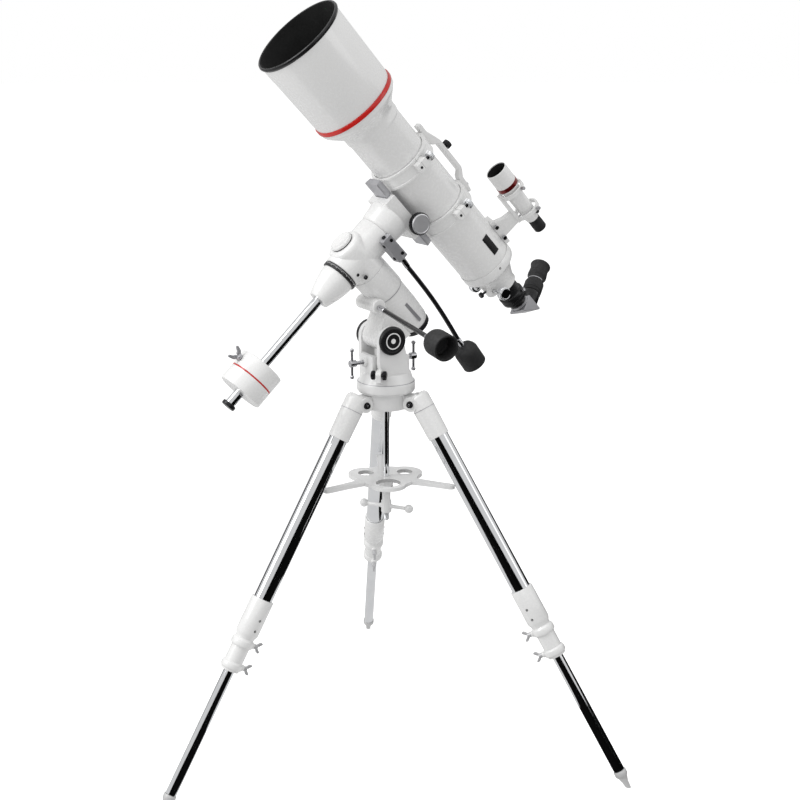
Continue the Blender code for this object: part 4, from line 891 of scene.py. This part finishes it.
def make_focuser():
    """The focuser's body, its screws, the draw tube with its collar and the focus knobs."""
    bore = 24.7
    body = lathe([(56.8, -226.0), (57.9, -226.0), (58.3, -227.0), (58.3, -242.4), (57.4, -245.0),
                  (55.0, -247.6), (50.0, -251.0), (45.6, -255.6), (41.0, -264.0), (35.6, -276.0),
                  (31.6, -286.0), (30.2, -291.0), (30.0, -300.0), (29.0, -301.0), (bore, -301.0),
                  (bore, -262.0), (44.0, -247.0), (52.5, -240.3), (56.8, -240.3)], 112)
    box = plate(arc(20.0, 128.0, 232.0, 9, (-22.0, 0.0)) + [(-24.0, -17.0), (-24.0, 17.0)], -295.0, -270.0)
    box = cut(box, rod((0.0, 0.0, -320.0), (0.0, 0.0, -250.0), 27.0, 64),
              rod((-31.0, -60.0, -283.0), (-31.0, 60.0, -283.0), 3.3, 28))
    piece("focuser_casting", TUBE, "optical_tube", WHITE, [body, box], ["focuser_body"], 0.6)
    screws = []
    for angle in (-95.0, 25.0, 145.0):
        direction = (math.cos(math.radians(angle)), math.sin(math.radians(angle)), 0.0)
        at = (direction[0] * 57.2, direction[1] * 57.2, -234.0)
        screws.append(cap_screw(2.4, 1.6, at, direction))
    piece("focuser_screws", TUBE, "optical_tube", DARK_STEEL, screws, (), 0.15)
    draw = lathe([(22.4, -190.0), (22.4, -338.0), (16.3, -338.0), (16.3, -346.0), (25.0, -346.0),
                  (26.6, -345.2), (27.5, -343.4), (27.5, -338.0), (26.2, -337.2), (26.2, -334.8),
                  (27.5, -334.0), (27.5, -327.0), (26.8, -326.0), (24.4, -324.6), (24.4, -190.0)], 96)
    piece("draw_tube_and_collar", TUBE, "draw", SATIN_BLACK, [draw], ["draw_tube"], 0.2)
    thumb = []
    for angle in (-60.0, 60.0):
        out = (math.cos(math.radians(angle)), math.sin(math.radians(angle)), 0.0)
        at = (0.0, 0.0, -330.0)
        thumb.append(lathe([(0.0, 26.0), (1.6, 26.0), (1.6, 31.0), (0.0, 31.0)], 20, at, out))
        thumb.append(knurled(4.0, 30.0, 35.0, 14, at, out, 0.5, 0.6))
    piece("draw_tube_screws", TUBE, "draw", STEEL, thumb, (), 0.1)
    shaft = rod((-31.0, -42.0, -283.0), (-31.0, 42.0, -283.0), 3.0, 28)
    knobs = []
    for side in (1.0, -1.0):
        out = (0.0, side, 0.0)
        at = (-31.0, 0.0, -283.0)
        knobs.append(lathe([(0.0, 38.0), (4.6, 38.4), (8.4, 42.0), (9.2, 45.4), (0.0, 46.0)], 48, at, out))
        knobs.append(knurled(13.5, 45.2, 57.0, 40, at, out, 0.5, 1.0))
        knobs.append(lathe([(0.0, 56.6), (12.2, 56.6), (11.8, 59.0), (10.6, 60.0), (9.6, 59.2), (0.0, 59.2)],
                           56, at, out))
    piece("focus_knobs", TUBE, "focus", CHROME, [shaft] + knobs, ["focus_shaft"], 0.1)
    lock_at = (-42.0, -6.0, -276.0)
    lock_out = (-1.0, 0.0, 0.25)
    lock = [lathe([(0.0, 0.0), (2.4, 0.0), (2.4, 10.0), (0.0, 10.0)], 24, lock_at, lock_out),
            knurled(6.0, 9.0, 16.0, 18, lock_at, lock_out, 0.6, 0.9)]
    piece("focus_lock_screw", TUBE, "optical_tube", BLACK, lock, (), 0.15)


def make_diagonal():
    """The star diagonal: a grey prism box between a black nose and socket, and the eyepiece."""
    half = 21.0
    wedge = plate([(-half, half), (half, half), (half, -half), (half - 4.0, -half), (-half, half - 4.0)],
                  -19.0, 19.0, ALONG_Y)
    piece("prism_box", ELBOW, "diagonal", GREY, [wedge], (), 1.2)
    nose = lathe([(0.0, 20.0), (17.6, 20.0), (18.5, 21.0), (18.5, 35.0), (17.4, 36.6), (15.8, 37.0),
                  (15.8, 61.0), (15.0, 62.0), (0.0, 62.0)], 64)
    seat = lathe([(16.2, 20.0), (18.0, 20.0), (18.4, 24.0), (19.5, 26.0), (19.5, 47.0), (18.8, 48.0),
                  (16.2, 48.0)], 64, (0.0, 0.0, 0.0), ALONG_X)
    plug = lathe([(0.0, 20.0), (16.4, 20.0), (16.4, 23.0), (0.0, 23.0)], 64, (0.0, 0.0, 0.0), ALONG_X)
    piece("diagonal_nose_and_socket", ELBOW, "diagonal", SATIN_BLACK, [nose, seat, plug],
          ["star_diagonal"], 0.4)
    ring = lathe([(19.0, 22.0), (20.0, 22.6), (20.0, 27.4), (19.0, 28.0), (17.9, 28.0), (17.9, 22.0)], 64)
    piece("diagonal_nose_ring", ELBOW, "diagonal", GREY, [ring], (), 0.2)
    profile = [(0.0, 25.0), (15.8, 25.0), (15.8, 48.3), (19.4, 48.6), (20.2, 50.0), (20.3, 53.0),
               (19.4, 54.0), (19.4, 56.0), (20.4, 57.0), (20.5, 76.0), (20.0, 78.0), (18.0, 80.0),
               (17.5, 82.0), (17.5, 92.0), (18.4, 94.0), (20.4, 97.0), (20.4, 103.0), (19.6, 104.0),
               (19.6, 106.0), (20.0, 107.0), (19.0, 118.0), (19.8, 122.0), (21.2, 127.0), (21.7, 129.4),
               (21.0, 130.6), (19.2, 130.5), (17.6, 128.0), (14.4, 121.6), (0.0, 121.0)]
    piece("ocular", ELBOW, "ocular", RUBBER, [lathe(profile, 96, (0.0, 0.0, 0.0), ALONG_X)],
          ["eyepiece"], 0.2)
    ribs = []
    for i in range(36):
        rib = brick((60.0, -0.5, 19.8), (74.0, 0.5, 20.5))
        ribs.append(moved(rib, turn(i * 10.0, "X")))
    piece("ocular_grip_ribs", ELBOW, "ocular", RUBBER, ribs, (), 0.2)
    eye = lathe([(0.0, 120.8), (10.4, 120.8), (10.4, 121.6), (9.0, 122.0), (0.0, 122.2)], 56, (0.0, 0.0, 0.0),
                ALONG_X)
    piece("eye_lens", ELBOW, "ocular", LENS, [eye], (), 0.1)
    band = lathe([(17.2, 83.0), (17.9, 83.0), (17.9, 85.0), (17.2, 85.0)], 64, (0.0, 0.0, 0.0), ALONG_X)
    piece("ocular_band", ELBOW, "ocular", STEEL, [band], (), 0.1)


def make_finder():
    """The finder scope, its red ring, black eye end and screws, and its two-ring bracket."""
    axis = (FINDER_OFFSET, 0.0, 0.0)
    front = -93.0
    rear = -263.0
    scope = lathe([(0.0, front - 42.0), (19.2, front - 42.0), (20.6, front - 1.0), (21.4, front),
                   (22.4, front - 1.2), (22.5, front - 30.0), (22.2, front - 42.0), (21.4, front - 46.0),
                   (19.0, front - 54.0), (17.0, front - 66.0), (16.2, front - 96.0), (15.5, front - 130.0),
                   (14.6, front - 136.0), (13.0, front - 139.0), (0.0, front - 139.0)], 88, axis)
    piece("finder_tube", FINDER, "optical_tube", WHITE, [scope], ["finder_scope"], 0.3)
    liner = lathe([(18.7, front - 41.0), (19.1, front - 41.0), (20.5, front - 2.0), (20.1, front - 2.0)],
                  72, axis)
    floor_disc = lathe([(0.0, front - 41.6), (19.1, front - 41.6), (19.1, front - 41.0), (0.0, front - 41.0)],
                       72, axis)
    piece("finder_lining", FINDER, "optical_tube", FLOCK, [liner, floor_disc], (), 0.0)
    glass = lathe([(0.0, front - 34.0), (19.0, front - 34.0), (19.0, front - 36.0), (0.0, front - 37.0)], 64,
                  axis)
    piece("finder_lens", FINDER, "optical_tube", LENS, [glass], (), 0.1)
    ring = lathe([(21.4, front - 46.0), (22.9, front - 45.6), (22.9, front - 37.0), (22.0, front - 36.6)],
                 88, axis)
    piece("finder_red_ring", FINDER, "optical_tube", DARK_RED, [ring], (), 0.15)
    eye = lathe([(0.0, rear + 4.0), (10.0, rear), (11.6, rear + 0.6), (13.2, rear + 3.0), (13.2, rear + 20.0),
                 (12.6, rear + 21.4), (13.0, rear + 23.0), (13.0, rear + 31.4), (0.0, rear + 31.4)], 72, axis)
    piece("finder_eye_end", FINDER, "optical_tube", RUBBER, [eye], (), 0.3)
    shoe = brick((50.0, -17.0, -226.0), (65.0, 17.0, -166.0))
    shoe = cut(shoe, rod((0.0, 0.0, -300.0), (0.0, 0.0, -100.0), 56.8, 128))
    stem = plate([(64.0, -216.0), (104.0, -212.0), (104.0, -186.0), (84.0, -184.0), (64.0, -176.0)],
                 -8.0, 8.0, ALONG_Y)
    spine = brick((103.0, -10.0, -214.0), (109.6, 10.0, -144.0))
    shapes = [shoe, stem, spine]
    for z in FINDER_RINGS:
        shapes.append(lathe([(23.5, z - 4.6), (27.0, z - 4.8), (27.5, z - 4.2), (27.5, z + 4.2),
                             (27.0, z + 4.8), (23.5, z + 4.6)], 80, axis))
    piece("finder_holder", FINDER, "optical_tube", WHITE, shapes, ["finder_bracket"], 0.8)
    screws = []
    for z in FINDER_RINGS:
        inner = 19.4 if z > -200.0 else 16.4
        for angle in (60.0, -60.0, 180.0):
            out = Vector((math.cos(math.radians(angle)), math.sin(math.radians(angle)), 0.0))
            centre = Vector((FINDER_OFFSET, 0.0, z))
            outer = 24.0 if angle == 180.0 else 30.0
            screws.append(lathe([(0.0, inner), (2.0, inner), (2.0, outer), (0.0, outer)], 24, centre, out))
            if angle != 180.0:
                screws.append(knurled(3.6, 29.0, 37.0, 12, centre, out, 0.5, 0.6))
    piece("finder_screws", FINDER, "optical_tube", STEEL, screws, (), 0.1)
    shoe_screws = []
    for z in (-178.0, -208.0):
        shoe_screws.append(lathe([(0.0, 17.0), (2.0, 17.0), (2.0, 21.0), (0.0, 21.0)], 24, (60.0, 0.0, z),
                                 (0.0, -1.0, 0.0)))
        shoe_screws.append(knurled(5.0, 20.0, 26.0, 16, (60.0, 0.0, z), (0.0, -1.0, 0.0), 0.5, 0.7))
    piece("finder_shoe_screws", FINDER, "optical_tube", STEEL, shoe_screws, (), 0.1)
    knob = knurled(5.0, 16.0, 22.0, 16, (FINDER_OFFSET, 0.0, rear + 45.0), (0.7, -0.7, 0.0), 0.5, 0.7)
    piece("finder_small_knob", FINDER, "optical_tube", BLACK, [knob], (), 0.1)


# ---------------------------------------------------------------- studio

CAMERA_AZIMUTH = -31.0
CAMERA_ELEVATION = 15.0
CAMERA_DISTANCE = 2.66


def view_axes():
    """The camera's right, and the direction from its target back to it."""
    azimuth, elevation = math.radians(CAMERA_AZIMUTH), math.radians(CAMERA_ELEVATION)
    right = Vector((math.cos(azimuth), math.sin(azimuth), 0.0))
    back = Vector((math.sin(azimuth) * math.cos(elevation), -math.cos(azimuth) * math.cos(elevation),
                   math.sin(elevation)))
    return right, back


def make_camera():
    """The camera at the main view."""
    right, back = view_axes()
    target = Vector((AXIS.x, AXIS.y, HINGE_HEIGHT - 0.009)) + right * 0.028
    data = bpy.data.cameras.new("camera")
    data.sensor_width = 36.0
    data.lens = 59.7
    data.clip_end = 200.0
    camera = bpy.data.objects.new("camera", data)
    bpy.context.collection.objects.link(camera)
    camera.location = target + back * CAMERA_DISTANCE
    camera.rotation_euler = back.to_track_quat("Z", "Y").to_euler()
    bpy.context.scene.camera = camera


def soft_light(name, azimuth, elevation, distance, size, power):
    """An area light that looks at the mount, its azimuth counted from the camera's."""
    angle = math.radians(CAMERA_AZIMUTH + azimuth)
    rise = math.radians(elevation)
    back = Vector((math.sin(angle) * math.cos(rise), -math.cos(angle) * math.cos(rise), math.sin(rise)))
    data = bpy.data.lights.new(name, "AREA")
    data.shape = "RECTANGLE"
    data.size, data.size_y = size
    data.energy = power
    light = bpy.data.objects.new(name, data)
    bpy.context.collection.objects.link(light)
    light.location = Vector((AXIS.x, AXIS.y, 0.8)) + back * distance
    light.rotation_euler = back.to_track_quat("Z", "Y").to_euler()


def dark_card(name, start, end, low, high, radius, depth=None):
    """A dark studio card, seen only in reflections: a curved wall, or a sheet near the floor."""
    bm = bmesh.new()
    steps = 24
    pairs = []
    for i in range(steps + 1):
        angle = math.radians(CAMERA_AZIMUTH + start + (end - start) * i / steps)
        out = Vector((math.sin(angle), -math.cos(angle), 0.0))
        centre = Vector((AXIS.x, AXIS.y, 0.0))
        near = centre + out * radius + Vector((0.0, 0.0, low))
        far = centre + out * (depth or radius) + Vector((0.0, 0.0, high))
        pairs.append((bm.verts.new(near), bm.verts.new(far)))
    for (a, b), (c, d) in zip(pairs, pairs[1:]):
        bm.faces.new((a, c, d, b))
    mesh = bpy.data.meshes.new(name)
    bm.to_mesh(mesh)
    bm.free()
    card = bpy.data.objects.new(name, mesh)
    bpy.context.collection.objects.link(card)
    made, tree, shader = start_material(name)
    socket(shader, "Base Color", (0.004, 0.004, 0.004, 1.0))
    socket(shader, "Roughness", 1.0)
    socket(shader, "Specular IOR Level", 0.0)
    mesh.materials.append(made)
    card.visible_camera = False
    card.visible_diffuse = False
    card.visible_shadow = False
    card.visible_transmission = False


def backdrop():
    """A plain white surround behind everything, lit by itself and seen by the camera only."""
    bm = bmesh.new()
    bmesh.ops.create_uvsphere(bm, u_segments=48, v_segments=24, radius=50.0)
    mesh = bpy.data.meshes.new("backdrop")
    bm.to_mesh(mesh)
    bm.free()
    dome = bpy.data.objects.new("backdrop", mesh)
    bpy.context.collection.objects.link(dome)
    made, tree, shader = start_material("backdrop_white")
    socket(shader, "Base Color", (0.0, 0.0, 0.0, 1.0))
    socket(shader, "Specular IOR Level", 0.0)
    socket(shader, "Emission Color", (1.0, 1.0, 1.0, 1.0))
    socket(shader, "Emission Strength", 1.0)
    mesh.materials.append(made)
    dome.visible_diffuse = False
    dome.visible_glossy = False
    dome.visible_transmission = False
    dome.visible_shadow = False


def make_studio():
    """A pale floor that glows a little, a pale surround, three soft lights and the dark cards."""
    bm = bmesh.new()
    bmesh.ops.create_circle(bm, cap_ends=True, radius=60.0, segments=96)
    mesh = bpy.data.meshes.new("floor")
    bm.to_mesh(mesh)
    bm.free()
    floor = bpy.data.objects.new("floor", mesh)
    bpy.context.collection.objects.link(floor)
    made, tree, shader = start_material("floor_paint")
    tree.links.new(blended(tree, noise(tree, 3.0), (0.90, 0.90, 0.90), (0.92, 0.92, 0.92)),
                   shader.inputs["Base Color"])
    socket(shader, "Roughness", 0.9)
    socket(shader, "Specular IOR Level", 0.1)
    socket(shader, "Emission Color", (1.0, 1.0, 1.0, 1.0))
    socket(shader, "Emission Strength", 0.55)
    mesh.materials.append(made)
    floor.visible_diffuse = False
    floor.visible_glossy = False
    backdrop()
    world = bpy.data.worlds.new("surround")
    world.use_nodes = True
    background = world.node_tree.nodes["Background"]
    background.inputs["Color"].default_value = (1.0, 1.0, 1.0, 1.0)
    background.inputs["Strength"].default_value = 0.68
    bpy.context.scene.world = world
    bpy.context.scene.view_settings.view_transform = "Standard"
    soft_light("key", -66.0, 34.0, 3.2, (1.5, 2.6), 50.0)
    soft_light("fill", 75.0, 25.0, 3.6, (1.2, 2.2), 6.0)
    soft_light("top", -20.0, 74.0, 3.4, (2.2, 2.2), 18.0)
    dark_card("front_floor_card", -52.0, 150.0, 0.02, 0.02, 0.3, 6.0)
    dark_card("front_wall_card", -40.0, 150.0, 0.02, 1.7, 6.0)
    dark_card("left_wall_card", -132.0, -112.0, 0.02, 2.6, 6.0)


# ---------------------------------------------------------------- everything

make_hub()
make_spindle()
make_tray()
make_spreader_nut()
for leg_name, leg_place in LEGS.items():
    make_bracket(leg_name, leg_place)
    make_leg_tubes(leg_name, leg_place)
    make_collar(leg_name, leg_place)
    make_leg_screws(leg_name, leg_place)
    make_foot(leg_name, leg_place)
make_azimuth_base()
make_latitude_screws()
make_polar_housing()
make_dec_housing()
make_weight()
make_control_shaft("ra_control", "ra_control", "polar", (-44.0, -43.0, -88.0), (-70.0, -290.0, -108.0),
                   0.0, "ra_control_shaft")
make_control_shaft("dec_control", "dec_control", "declination", (55.0, -44.0, -56.0),
                   (24.0, -44.0, -342.0), 4.5, "dec_control_shaft")
make_saddle()
make_bar()
make_ring("front", 56.0)
make_ring("rear", -75.0)
make_carrying_bar()
make_main_tube()
make_focuser()
make_diagonal()
make_finder()
make_camera()
make_studio()
